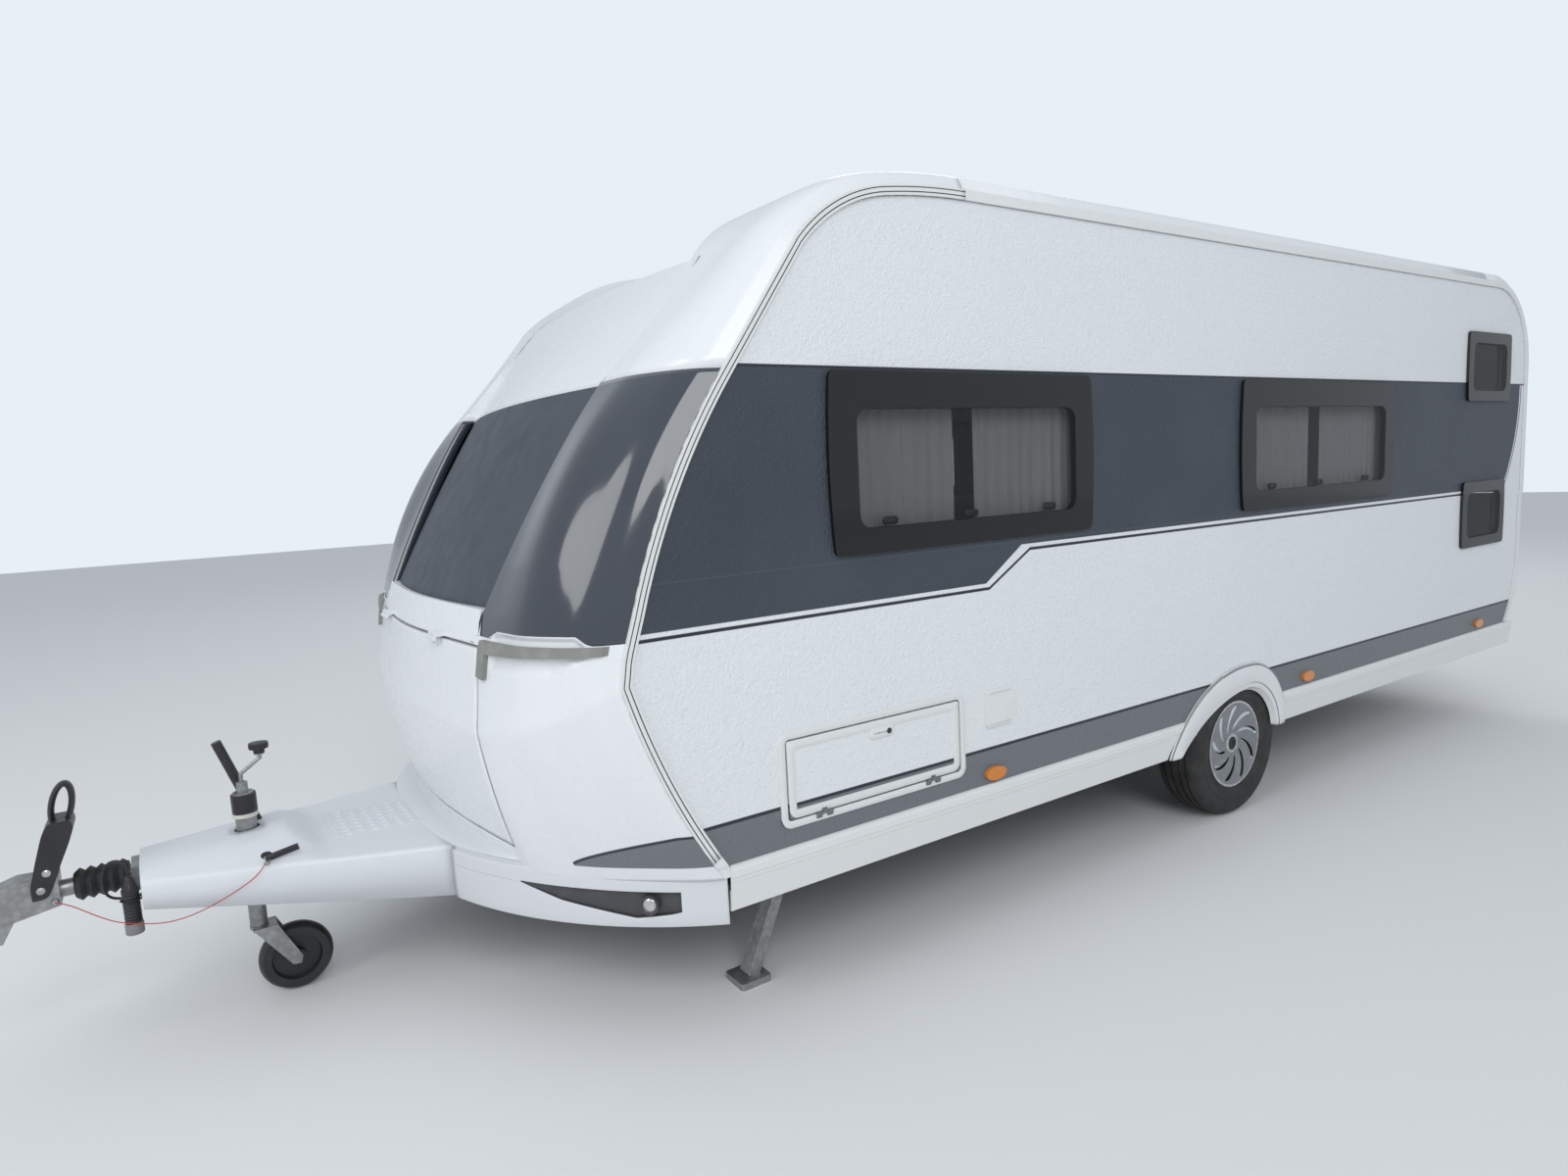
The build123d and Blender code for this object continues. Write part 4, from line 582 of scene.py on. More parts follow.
# The sunk middle has its own middle row. Its levels go back by MIDDLE_FALL, in millimetres, at MIDDLE_HALF,
# in metres, from the middle.
MIDDLE_ROW = [
    1605, 2562, 1900, 2497, 2470, 2212, 2745, 1900, 2946, 1572,
    3118, 1257, 3172, 1155, 3221, 930, 3195, 720, 3112, 470,
]
MIDDLE_FALL, MIDDLE_HALF = [0, 0, 40] + [85] * 7, 0.78
# The crease between the two: height and half width, in millimetres
CREASE = (
    (1257, 642), (1900, 751), (2009, 778), (2093, 788), (2167, 774), (2244, 738), (2320, 700), (2420, 640),
    (2600, 560),
)
PANE_TOP, PANE_FOOT = 1.900, 1.257
PANE_TOP_HALF, PANE_FOOT_HALF, PANE_GAP = 0.751, 0.642, 0.003
# A corner pane's inner edge: how far its foot runs in, then its first step back, its depth and its lean
PANE_SHIFT, PANE_TURN, PANE_DEPTH, PANE_SIDE = 0.012, 0.007, 0.045, 0.004
# The lid's height and half width at its top, its middle and its foot, and the gap around it
LID_TOP, LID_MID, LID_FOOT = (1.152, 0.665), (0.905, 0.706), (0.560, 0.700)
LID_GAP = 0.008
# Foot of the corner panes, as distance from the middle and height, and the grab handle's pocket
CREST_END = 0.637
CORNER_EDGE = (
    (0.630, 1.186), (0.745, 1.186), (0.757, 1.196), (0.780, 1.208),
    (1.072, 1.210), (1.092, 1.192), (1.104, 1.186), (1.140, 1.186),
)
POCKET = (
    (0.757, 1.104), (0.757, 1.196), (0.780, 1.208), (1.072, 1.210), (1.092, 1.192), (1.104, 1.150),
    (1.010, 1.106),
)
POCKET_DEPTH, POCKET_SLOPE = 0.012, 0.014
# Depth at which the cap's step is whole, and how far the skins below the cap lie over their solids
CAP_STEP, SKIN_OVER = 0.012, 0.0024


def eased(share):
    """Shares from 0 to 1 with a level start and end: 3 s squared less 2 s cubed."""
    return share * share * (3 - 2 * share)


def eased_rows(table, y):
    """Rows of a table at distances y: cubics between its rows, whose harmonic mean slopes don't overshoot."""
    keys = np.array(sorted(table), float)
    rows = np.array([table[int(k)] for k in keys], float)
    steps = np.diff(keys)[:, None]
    rises = np.diff(rows, axis=0) / steps
    product, total = rises[:-1] * rises[1:], rises[:-1] + rises[1:]
    inner = np.where(product > 0, 2 * product / np.where(total == 0, 1, total), 0.0)
    slopes = np.vstack([np.zeros(rows.shape[1]), inner, rises[-1]])
    y = np.clip(np.abs(np.asarray(y, float)), 0, keys[-1])
    i = np.clip(np.searchsorted(keys, y, side="right") - 1, 0, len(keys) - 2)
    step = steps[i]
    t = (y - keys[i])[:, None] / step
    a, b, u, v = rows[i], rows[i + 1], slopes[i], slopes[i + 1]
    return a + (b - a) * eased(t) + step * (t * (1 - t) ** 2 * u - t * t * (1 - t) * v)


def arc_points(first, last, centre, share):
    """Points on circles from first to last, the shorter way round, at shares of the turn."""
    a, b = first - centre, last - centre
    start = np.arctan2(a[:, 1], a[:, 0])
    turn = (np.arctan2(b[:, 1], b[:, 0]) - start + pi) % (2 * pi) - pi
    angle = start + turn * share
    return centre + np.linalg.norm(a, axis=1)[:, None] * np.stack([np.cos(angle), np.sin(angle)], -1)


def tangent_centre(first, last, way):
    """Centres of the circles through two points that leave the first along a direction."""
    normal = np.stack([way[:, 1], -way[:, 0]], -1)
    chord = last - first
    radius = (chord ** 2).sum(1) / (2 * (chord * normal).sum(1))
    return first + normal * radius[:, None]


def through_centre(a, b, c):
    """Centres of the circles through three points."""
    ab, ac = b - a, c - a
    cross = 2 * (ab[:, 0] * ac[:, 1] - ab[:, 1] * ac[:, 0])
    ab2, ac2 = (ab ** 2).sum(1), (ac ** 2).sum(1)
    x = (ac[:, 1] * ab2 - ab[:, 1] * ac2) / cross
    z = (ab[:, 0] * ac2 - ac[:, 0] * ab2) / cross
    return a + np.stack([x, z], -1)


def profile(rows, t):
    """X and Z in metres of each row at its level t (0 roof .. 9 foot): arcs and lines as in the solids."""
    p = rows.reshape(len(rows), 10, 2)
    centre_a = tangent_centre(p[:, 0], p[:, 1], np.tile([1.0, 0.0], (len(p), 1)))
    spoke = p[:, 1] - centre_a
    way = np.stack([spoke[:, 1], -spoke[:, 0]], -1)
    way /= np.linalg.norm(way, axis=1)[:, None]
    centre_b = tangent_centre(p[:, 1], p[:, 2], way)
    centre_c = through_centre(p[:, 3], p[:, 4], p[:, 5])
    centre_d = through_centre(p[:, 7], p[:, 8], p[:, 9])
    found = p[:, 9].copy()
    runs = (
        (0, 1, centre_a), (1, 2, centre_b), (2, 3, None), (3, 5, centre_c), (5, 6, None), (6, 7, None),
        (7, 9, centre_d),
    )
    for low, high, centre in runs:
        pick = (t >= low) & (t <= high)
        share = (t[pick] - low) / (high - low)
        first, last = p[pick, low], p[pick, high]
        if centre is None:
            found[pick] = first + (last - first) * share[:, None]
        else:
            found[pick] = arc_points(first, last, centre[pick], share)
    return found / 1000.0


def outer_rows(y):
    """The outer skin's rows at distances y from the middle, in metres."""
    return eased_rows(FRONT_ROWS, np.abs(y) * 1000)


def middle_rows(y):
    """The sunk middle's rows: its middle row, set back with the square of the distance."""
    fall = np.repeat(np.array(MIDDLE_FALL, float), 2)
    fall[1::2] = 0
    return np.array(MIDDLE_ROW, float) - fall * (np.asarray(y, float)[:, None] / MIDDLE_HALF) ** 2


def edge_along(rows_of, t, width):
    """Half widths at levels t where a surface meets an outline seen from the front."""
    y = np.full(len(t), 0.7)
    for _ in range(12):
        y = width(profile(rows_of(y), t)[:, 1])
    return y


def crease_width(z):
    """The crease's half width by height."""
    heights, halves = np.array(CREASE, float).T / 1000.0
    return np.interp(z, heights, halves)


def pane_width(z):
    """The panes' seam runs straight from its half width at the foot to that at the top."""
    return PANE_FOOT_HALF + (z - PANE_FOOT) * (PANE_TOP_HALF - PANE_FOOT_HALF) / (PANE_TOP - PANE_FOOT)


def skin_grid(rows_of, y, t):
    """Points of a surface at distances y[row, column] and levels t, one for each row or for each point."""
    t = np.broadcast_to(t if np.ndim(t) == 2 else np.asarray(t)[:, None], y.shape)
    points = profile(rows_of(y.ravel()), t.ravel()).reshape(*y.shape, 2)
    return np.stack([at(points[..., 0]), y, points[..., 1]], -1)


def level_at(rows_of, y, z, low, high):
    """Level t between two levels where the surface at distance y has height z, by halving."""
    y, z = np.broadcast_arrays(y, z)
    a, b = np.full(y.shape, float(low)), np.full(y.shape, float(high))
    for _ in range(22):
        middle = (a + b) / 2
        over = skin_grid(rows_of, y, middle)[..., 2] > z
        a, b = np.where(over, middle, a), np.where(over, b, middle)
    return (a + b) / 2


def thick(piece, depth, way):
    """Turn an open surface to face a way on the whole, and give it its thickness on the other side."""
    mesh = piece.data
    normals, areas = np.zeros(3 * len(mesh.polygons)), np.zeros(len(mesh.polygons))
    mesh.polygons.foreach_get("normal", normals)
    mesh.polygons.foreach_get("area", areas)
    if (normals.reshape(-1, 3) * areas[:, None]).sum(0) @ np.array(way) < 0:
        mesh.flip_normals()
    solid = piece.modifiers.new("thickness", "SOLIDIFY")
    solid.thickness = depth
    solid.offset = -1.0
    return piece


def bow_width(z):
    """The lid's half width by height: a parabola through its top, middle and foot."""
    heights, halves = zip(LID_TOP, LID_MID, LID_FOOT)
    return np.polyval(np.polyfit(heights, halves, 2), np.clip(z, LID_FOOT[0], LID_TOP[0]))


def corner_foot(y):
    """Height of the corner panes' foot by distance from the middle."""
    places, heights = np.array(CORNER_EDGE).T
    return np.interp(np.abs(y), places, heights)


def corner_pane(side):
    """One corner pane: levels from the cap's edge to the foot line, its turned-in edge as two columns."""
    v = np.linspace(0, 1, 47)
    t = 3 + 2 * v[:-8]
    inner = edge_along(outer_rows, t, pane_width)
    across = 1 - (1 - np.linspace(0, 1, 34)) ** 1.7
    y = inner[:, None] + (WALL_Y - inner)[:, None] * across
    low = np.linspace(0, 1, 9)[1:, None]
    foot_inner = PANE_FOOT_HALF - PANE_SHIFT * low
    foot_y = foot_inner + (WALL_Y - foot_inner) * across
    foot_z = PANE_FOOT + (corner_foot(foot_y) - PANE_FOOT) * low
    upper = skin_grid(outer_rows, y, t)
    lower = skin_grid(outer_rows, foot_y, level_at(outer_rows, foot_y, foot_z, 5, 6))
    face = np.concatenate([upper, lower], axis=0)
    turned_in = face[:, :1] - np.array([PANE_TURN, PANE_SIDE, 0.0])
    deep = face[:, :1] - np.array([PANE_DEPTH, PANE_SIDE, 0.0])
    points = np.concatenate([deep, turned_in, face], axis=1)
    return points if side > 0 else points * np.array([1, -1, 1])


def centre_pane():
    """The sunk skin between the two seams, from level 3 to 5."""
    t = np.linspace(3, 5, 33)
    edge = edge_along(middle_rows, t, pane_width) - PANE_GAP
    return skin_grid(middle_rows, edge[:, None] * np.linspace(-1, 1, 33), t)


def inside_depth(y, z, outline):
    """How far points lie inside a closed outline of Y and Z, 0 outside it."""
    corners = np.array(outline)
    ends = np.roll(corners, -1, axis=0)
    nearest = np.full(y.shape, 1e9)
    inside = np.zeros(y.shape, bool)
    for (ay, az), (by, bz) in zip(corners, ends):
        run, rise = by - ay, bz - az
        along = np.clip(((y - ay) * run + (z - az) * rise) / (run ** 2 + rise ** 2), 0, 1)
        nearest = np.minimum(nearest, np.hypot(y - ay - along * run, z - az - along * rise))
        crossing = (az > z) != (bz > z)
        inside ^= crossing & (y < ay + (z - az) / (rise if rise != 0 else 1.0) * run)
    return np.where(inside, nearest, 0.0)


def outward(points):
    """Unit normals of a grid, turned away from the cabin."""
    normal = np.cross(np.gradient(points, axis=0), np.gradient(points, axis=1))
    normal /= np.linalg.norm(normal, axis=-1)[..., None] + 1e-12
    return normal * np.where(normal[..., :1] < 0, -1.0, 1.0)


def lower_front():
    """The lower moulding: rows from the panes' foot to the floor, columns across, open where the lid is."""
    top, foot = LID_TOP[0] + LID_GAP, LID_FOOT[0] - LID_GAP
    share = np.concatenate([np.linspace(0, 1, 19), np.linspace(1, 2, 52)[1:], np.linspace(2, 3, 10)[1:]])
    common = np.interp(share, [0, 1, 2, 3], [0, top, foot, BODY_FOOT])
    edge = bow_width(common) + LID_GAP
    edge[0] = bow_width(top) + LID_GAP
    jump = (CREST_END + np.array([-0.001, 0.0015])) / edge[0]
    inside = np.concatenate([[-1.0], np.sort([*-jump, *np.linspace(-0.92, 0.92, 37), *jump]), [1.0]])
    across = 1 - (1 - np.linspace(0, 1, 84)[1:]) ** 1.25
    wing = edge[:, None] + (WALL_Y - edge)[:, None] * across
    y = np.concatenate([-wing[:, ::-1], edge[:, None] * inside, wing], axis=1)
    crest = np.where(np.abs(y) < CREST_END, PANE_FOOT, corner_foot(y))
    z = np.where(share[:, None] < 1, crest + (top - crest) * share[:, None], common[:, None])
    points = skin_grid(outer_rows, y, level_at(outer_rows, y, z, 5, 9))
    sunk = POCKET_DEPTH * eased(np.clip(inside_depth(np.abs(y), z, POCKET) / POCKET_SLOPE, 0, 1))
    points = points + outward(points) * (SKIN_OVER - sunk)[..., None]
    wide, many = across.size, inside.size
    keep = np.ones((len(share) - 1, y.shape[1] - 1), bool)
    rows = (share[:-1] >= 1) & (share[1:] <= 2)
    keep[np.ix_(rows, np.arange(wide, wide + many - 1))] = False
    return points, keep


def locker_lid():
    """The lid's skin: rows from its top to its foot, across its width at each height."""
    z = np.linspace(LID_TOP[0], LID_FOOT[0], 52)[:, None]
    y = bow_width(z) * np.linspace(-1, 1, 61)
    points = skin_grid(outer_rows, y, level_at(outer_rows, y, z, 5, 9))
    return points + outward(points) * SKIN_OVER


def front_cap():
    """The cap: outer skin beyond the crease and sunk skin between, with the step as one cell of each row."""
    t = np.concatenate([np.linspace(0, 1, 15), np.linspace(1, 2, 17)[1:], np.linspace(2, 3, 12)[1:]])
    out_edge = edge_along(outer_rows, t, crease_width)
    in_edge = edge_along(middle_rows, t, crease_width)
    side = 1 - (1 - np.linspace(0, 1, 26)) ** 1.8
    shoulder = out_edge[:, None] + (WALL_Y - out_edge)[:, None] * side
    inside = in_edge[:, None] * np.linspace(-1, 1, 41)
    outer = skin_grid(outer_rows, shoulder, t)
    plain = skin_grid(outer_rows, inside, t)
    sunk = skin_grid(middle_rows, inside, t)
    along = np.gradient(plain[..., [0, 2]], axis=0)
    normal = np.stack([-along[..., 1], along[..., 0]], -1)
    normal /= np.linalg.norm(normal, axis=-1)[..., None] + 1e-9
    depth = -((sunk - plain)[..., [0, 2]] * normal).sum(-1)
    middle = plain + (sunk - plain) * eased(np.clip(depth / CAP_STEP, 0, 1))[..., None]
    right = outer[:, ::-1] * np.array([1, -1, 1])
    return np.concatenate([right, middle, outer], axis=1)


def closed(piece, angle):
    """Turn a closed piece's faces outwards and round its shading."""
    mesh = bmesh.new()
    mesh.from_mesh(piece.data)
    bmesh.ops.recalc_face_normals(mesh, faces=mesh.faces)
    mesh.to_mesh(piece.data)
    mesh.free()
    return smooth(piece, angle)


def oval(a, b, count=14):
    """A section a cos t by b sin t."""
    angle = np.arange(count) * 2 * pi / count
    return np.stack([a * np.cos(angle), b * np.sin(angle)], -1)


def ring_piece(name, side, bounds, corner, section, steps=8):
    """A band round a rectangle on a side, its section as steps out from the outline and up from the wall.

    A corner's points are its centre plus (corner + out)(cos a, sin a).
    """
    x0, x1, z0, z1 = bounds
    angle = ((np.arange(4)[:, None] + np.linspace(0, 1, steps)) * pi / 2).ravel()
    quarter = np.repeat(np.arange(4), steps)
    cx = np.where((quarter == 0) | (quarter == 3), x1 - corner, x0 + corner)[:, None]
    cz = np.where(quarter < 2, z1 - corner, z0 + corner)[:, None]
    out, high = np.array(section, float).T
    x = cx + (corner + out) * np.cos(angle)[:, None]
    z = cz + (corner + out) * np.sin(angle)[:, None]
    points = np.stack([at(x), np.broadcast_to(side * (WALL_Y + high), x.shape), z], -1)
    return closed(grid_piece(name, points, round_u=True, round_v=True), 40)


def turned(name, centre, axis, rows, count=32, hollow=False):
    """Rows of radius and height turned round an axis through centre: c + h n + r (u cos a + v sin a)."""
    n = Vector(axis).normalized()
    u = n.orthogonal().normalized()
    v = n.cross(u)
    angle = np.arange(count) * 2 * pi / count
    r, h = np.array(rows, float).T
    spoke = np.cos(angle)[:, None] * np.array(u) + np.sin(angle)[:, None] * np.array(v)
    points = np.array(centre) + h[:, None, None] * np.array(n) + r[:, None, None] * spoke
    return closed(grid_piece(name, points, round_u=hollow, round_v=True, caps=(not hollow, not hollow)), 35)


def swept(name, path, section, reference=(0, 1, 0)):
    """A closed section carried along a path of points."""
    path = np.asarray(path, float)
    ahead = np.gradient(path, axis=0)
    ahead /= np.linalg.norm(ahead, axis=1)[:, None]
    across = np.cross(reference, ahead)
    across /= np.linalg.norm(across, axis=1)[:, None]
    lift = np.cross(ahead, across)
    a, b = np.asarray(section).T[:, None, :, None]
    points = path[:, None] + across[:, None] * a + lift[:, None] * b
    return closed(grid_piece(name, points, round_v=True, caps=(True, True)), 40)


def bent(corners, radius, steps=7):
    """Points along straight runs; a corner between them is a quadratic curve that starts radius before it."""
    corners = [np.array(c, float) for c in corners]
    points = [corners[0]]
    for before, corner, after in zip(corners, corners[1:], corners[2:]):
        arrive, leave = before - corner, after - corner
        start = corner + arrive * min(0.48, radius / np.linalg.norm(arrive))
        end = corner + leave * min(0.48, radius / np.linalg.norm(leave))
        for t in np.linspace(0, 1, steps):
            points.append((1 - t) ** 2 * start + 2 * t * (1 - t) * corner + t * t * end)
    points.append(corners[-1])
    return np.array(points)


def seated(piece, body, replaced=()):
    """A piece on its body, in place of CAD nodes where it replaces some."""
    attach(piece, body)
    if replaced:
        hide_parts(*replaced)
    return piece


def placed(piece, body, slot, finish, *replaced):
    """A made piece on its body, in one finish."""
    finish.dress(piece)
    return seated(piece, body, replaced)


def striped(piece, body, slot, finishes, cells, *replaced):
    """A made piece on its body, whose quads take the finish that cells gives."""
    for finish in finishes:
        piece.data.materials.append(finish.material)
    piece.data.polygons.foreach_set("material_index", np.asarray(cells, np.int32).ravel())
    return seated(piece, body, replaced)


# Curtains behind the large windows
FOLD_DEPTH, FOLD_WIDTH = 0.010, 0.055
CURTAIN_Y = 1.094
CURTAIN_GAP, CURTAIN_SIDE, CURTAIN_END = 0.10, 0.03, 0.01


def curtain(name, x0, x1, z0, z1, side, folds, phase):
    """A gathered sheet: X runs with u and Z with v; Y swings with the sine of u, deeper lower down."""
    u = np.linspace(0, 1, folds * 16 + 1)[:, None]
    v = np.linspace(0, 1, 9)[None, :]
    deep = FOLD_DEPTH * (0.65 + 0.35 * (1 - v))
    swing = np.sin(2 * pi * folds * u + phase) + 0.35 * np.sin(4.6 * pi * folds * u + 1.3 * phase)
    x = at(x0) + (x1 - x0) * u + 0.15 * deep * np.sin(2 * pi * folds * u * 0.5)
    y = side * (CURTAIN_Y + deep * 0.7 * swing)
    z = z1 + (z0 - z1) * v
    points = np.stack(np.broadcast_arrays(x, y, z), axis=-1)
    steps = np.linalg.norm(np.diff(points[:, v.size // 2], axis=0), axis=1)
    width, drop = float(steps.sum()), float(z1 - z0)
    flat_u = np.concatenate([[0.0], np.cumsum(steps)])
    uv = np.stack(np.broadcast_arrays(flat_u[:, None], v * drop), axis=-1)
    return smooth(grid_piece(name, points, inward=side < 0, uv=uv), 80), (width, drop)


def add_curtains():
    """Two gathered curtains behind each large window."""
    cloth = cloth_sheer()
    for side, group in SIDES:
        for number, (x0, x1, z0, z1) in enumerate(WINDOW_PANES[group]):
            middle, half = (x0 + x1) / 2, CURTAIN_GAP / 2
            spans = [(x0 + CURTAIN_SIDE, middle - half), (middle + half, x1 - CURTAIN_SIDE)]
            for part, (a, b) in enumerate(spans):
                name = f"curtain_{group}_{number}_{part}"
                folds = max(4, int((b - a) / FOLD_WIDTH))
                low, high = z0 + CURTAIN_END, z1 - CURTAIN_END
                sheet, flat = curtain(name, a, b, low, high, side, folds, 0.7 * part + number)
                placed(sheet, "caravan", "curtain_cloth", cloth)
    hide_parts("curtains")


# Cords at the hitch: the lead with its parked plug, and the breakaway cable
LEAD_RADIUS, CABLE_RADIUS = 0.004, 0.0015
PLUG_X, PLUG_Y = 4.0335, 0.118
LEAD_ROUTE = (
    (4.0335, 0.118, 0.541), (4.0335, 0.118, 0.588), (4.083, 0.106, 0.592),
    (4.101, 0.092, 0.522), (4.080, 0.078, 0.458), (4.0115, 0.076, 0.462),
)
CABLE_ROUTE = (
    (3.691, 0.268, 0.534), (3.710, 0.266, 0.505), (3.748, 0.246, 0.474), (3.794, 0.230, 0.447),
    (3.843, 0.213, 0.422), (3.898, 0.195, 0.402), (3.955, 0.179, 0.394), (4.012, 0.160, 0.402),
    (4.068, 0.140, 0.416), (4.112, 0.106, 0.434), (4.150, 0.076, 0.455), (4.184, 0.061, 0.478),
    (4.213, 0.053, 0.490),
)
# Radii and heights of what is turned round an axis start and end close to the axis, at PIN
PIN = 0.0006
PLUG_RIBS, RIB_FOOT, RIB_PITCH = 9, 0.408, 0.009
PLUG_CAP = ((PIN, 0.366), (0.022, 0.366), (0.024, 0.369), (0.024, 0.397), (0.022, 0.400), (PIN, 0.400))
GROMMET = ((0.0042, -0.010), (0.010, -0.010), (0.011, 0.0), (0.0075, 0.004), (0.0042, 0.0055))
ANCHOR = ((PIN, 0.0), (0.010, 0.0), (0.010, 0.004), (0.007, 0.009), (PIN, 0.009))
CLIP_Z, CLIP_SIDE, CLIP_REACH = 0.47, 0.027, 0.0275
EYE_ROUTE = (
    (3.691, 0.235, 0.540), (3.691, 0.266, 0.540), (3.697, 0.268, 0.528), (3.684, 0.266, 0.526),
    (3.680, 0.240, 0.532),
)


def from_axle(points):
    """Points whose X counts from the axle, in the frame."""
    return [(at(x), y, z) for x, y, z in points]


def cord_piece(name, route, radius):
    """A round cord on a smooth spline that has the route's points as its control points."""
    data = bpy.data.curves.new(name, "CURVE")
    data.dimensions = "3D"
    data.bevel_depth = radius
    data.bevel_resolution = 3
    data.resolution_u = 8
    spline = data.splines.new("NURBS")
    spline.points.add(len(route) - 1)
    for point, place in zip(spline.points, from_axle(route)):
        point.co = (*place, 1.0)
    spline.order_u = 3
    spline.use_endpoint_u = True
    piece = bpy.data.objects.new(name, data)
    bpy.context.scene.collection.objects.link(piece)
    return piece


def plug_rows():
    """The plug's outline: a ribbed grip and a neck that narrows up to the lead."""
    rows = [(PIN, 0.397), (0.0205, 0.397), (0.022, 0.400)]
    for rib in range(PLUG_RIBS):
        z = RIB_FOOT + rib * RIB_PITCH
        rows += [(0.022, z), (0.0205, z + 0.002), (0.0205, z + 0.004), (0.022, z + 0.006)]
    neck = [(0.022, 0.500), (0.0185, 0.508), (0.0125, 0.530), (0.008, 0.540), (0.0046, 0.540), (PIN, 0.540)]
    return rows + neck


def add_cords():
    """The parked lead and the breakaway cable, with what holds their ends."""
    black = plastic("lead_black", (0.016, 0.016, 0.018), 0.38)
    grey = plastic("plug_cap_grey", (0.20, 0.205, 0.21), 0.4)
    foot, up = (at(PLUG_X), PLUG_Y, 0), (0, 0, 1)
    plug = placed(turned("plug_body", foot, up, plug_rows()), "caravan", "black_plastic", black)
    cap = placed(turned("plug_cap", foot, up, PLUG_CAP), "caravan", "black_plastic", grey)
    back = PLUG_X - CLIP_REACH
    loop = ((back, 0.010), (PLUG_X, CLIP_SIDE), (4.060, 0.0), (PLUG_X, -CLIP_SIDE), (back, -0.010))
    clip = bent([(at(x), PLUG_Y + y, CLIP_Z) for x, y in loop], 0.022)
    placed(swept("plug_clip", clip, oval(0.008, 0.0018), up), "caravan", "black_plastic", black)
    grommet = turned("lead_grommet", (at(4.006), 0.076, 0.462), (1, 0, 0), GROMMET)
    placed(grommet, "caravan", "black_plastic", black)
    lead = placed(cord_piece("lead", LEAD_ROUTE, LEAD_RADIUS), "caravan", "soft_rubber", black)
    at(4.0115)
    red = plastic("cable_red", (0.42, 0.02, 0.015), 0.4)
    cable = placed(cord_piece("breakaway_cable", CABLE_ROUTE, CABLE_RADIUS), "caravan", "soft_rubber", red)
    at(3.691)
    zinc = galvanised("zinc_small", 0.5, 0.35)
    eye = swept("cable_eye", bent(from_axle(EYE_ROUTE), 0.008), oval(0.0028, 0.0028, 10), (1, 0, 0))
    placed(eye, "caravan", "galvanised", zinc)
    anchor = turned("cable_anchor", (at(4.213), 0.044, 0.490), (0, 1, 0), ANCHOR, 20)
    placed(anchor, "caravan", "galvanised", zinc)


# Where along a pane its catches sit, half their length, and their foot and top over the pane's foot
LATCH_SHARES = (0.17, 0.50, 0.80)
LATCH_HALF, LATCH_FOOT, LATCH_TOP = 0.030, 0.082, 0.108
# Sections round a rectangle, as steps out from it and up from the wall
LATCH_SECTION = ((-0.012, -0.016), (0.0, -0.016), (0.0, -0.008), (-0.003, -0.0055), (-0.012, -0.0055))
FRAME_SECTION = (
    (0.0055, 0.0), (0.0055, 0.0058), (0.0085, 0.0075), (0.0235, 0.0075), (0.0275, 0.0055), (0.0275, 0.0),
)
RIM_SECTION = (
    (-0.0005, 0.0045), (-0.0005, 0.0070), (-0.004, 0.0092), (-0.021, 0.0092), (-0.0255, 0.0075),
    (-0.0265, 0.0045),
)
LOCK_SECTION = ((-0.016, 0.0045), (0.0, 0.0045), (0.0, 0.0085), (-0.0025, 0.0105), (-0.0165, 0.0105))
BUTTON_SECTION = ((-0.0036, 0.0045), (0.0, 0.0045), (0.0, 0.0075), (-0.0015, 0.0088), (-0.0036, 0.0088))
BAR_SECTION = ((-0.0032, 0.0095), (0.0, 0.0095), (0.0, 0.0118), (-0.0015, 0.0132), (-0.0032, 0.0132))
KEYHOLE = ((PIN, 0.0), (0.0095, 0.0), (0.0095, 0.0068), (0.0085, 0.0078), (PIN, 0.0072))
# The lock's plate: its middle's share of the hatch's length, half its length, its middle's depth under the
# hatch's top and half its height. On it sit the keyhole and the button.
LOCK_SHARE, LOCK_HALF, LOCK_DROP, LOCK_HALF_HEIGHT = 0.48, 0.050, 0.040, 0.018
KEYHOLE_BACK, HATCH_FACE = 0.028, 0.0045
BUTTON_FROM, BUTTON_TO, BUTTON_HALF = 0.005, 0.036, 0.009
BAR_INSET, BAR_HALF = (0.008, 0.010), 0.0035


def add_latches():
    """Dark catches inside each large window's lower edge."""
    dark = plastic("latch_dark", (0.02, 0.02, 0.022), 0.4)
    for side, group in SIDES:
        for number, (x0, x1, z0, _) in enumerate(WINDOW_PANES[group]):
            for k, share in enumerate(LATCH_SHARES):
                x = x0 + (x1 - x0) * share
                bounds = (x - LATCH_HALF, x + LATCH_HALF, z0 + LATCH_FOOT, z0 + LATCH_TOP)
                latch = ring_piece(f"latch_{group}_{number}_{k}", side, bounds, 0.0125, LATCH_SECTION, 4)
                placed(latch, "caravan", "black_plastic", dark)


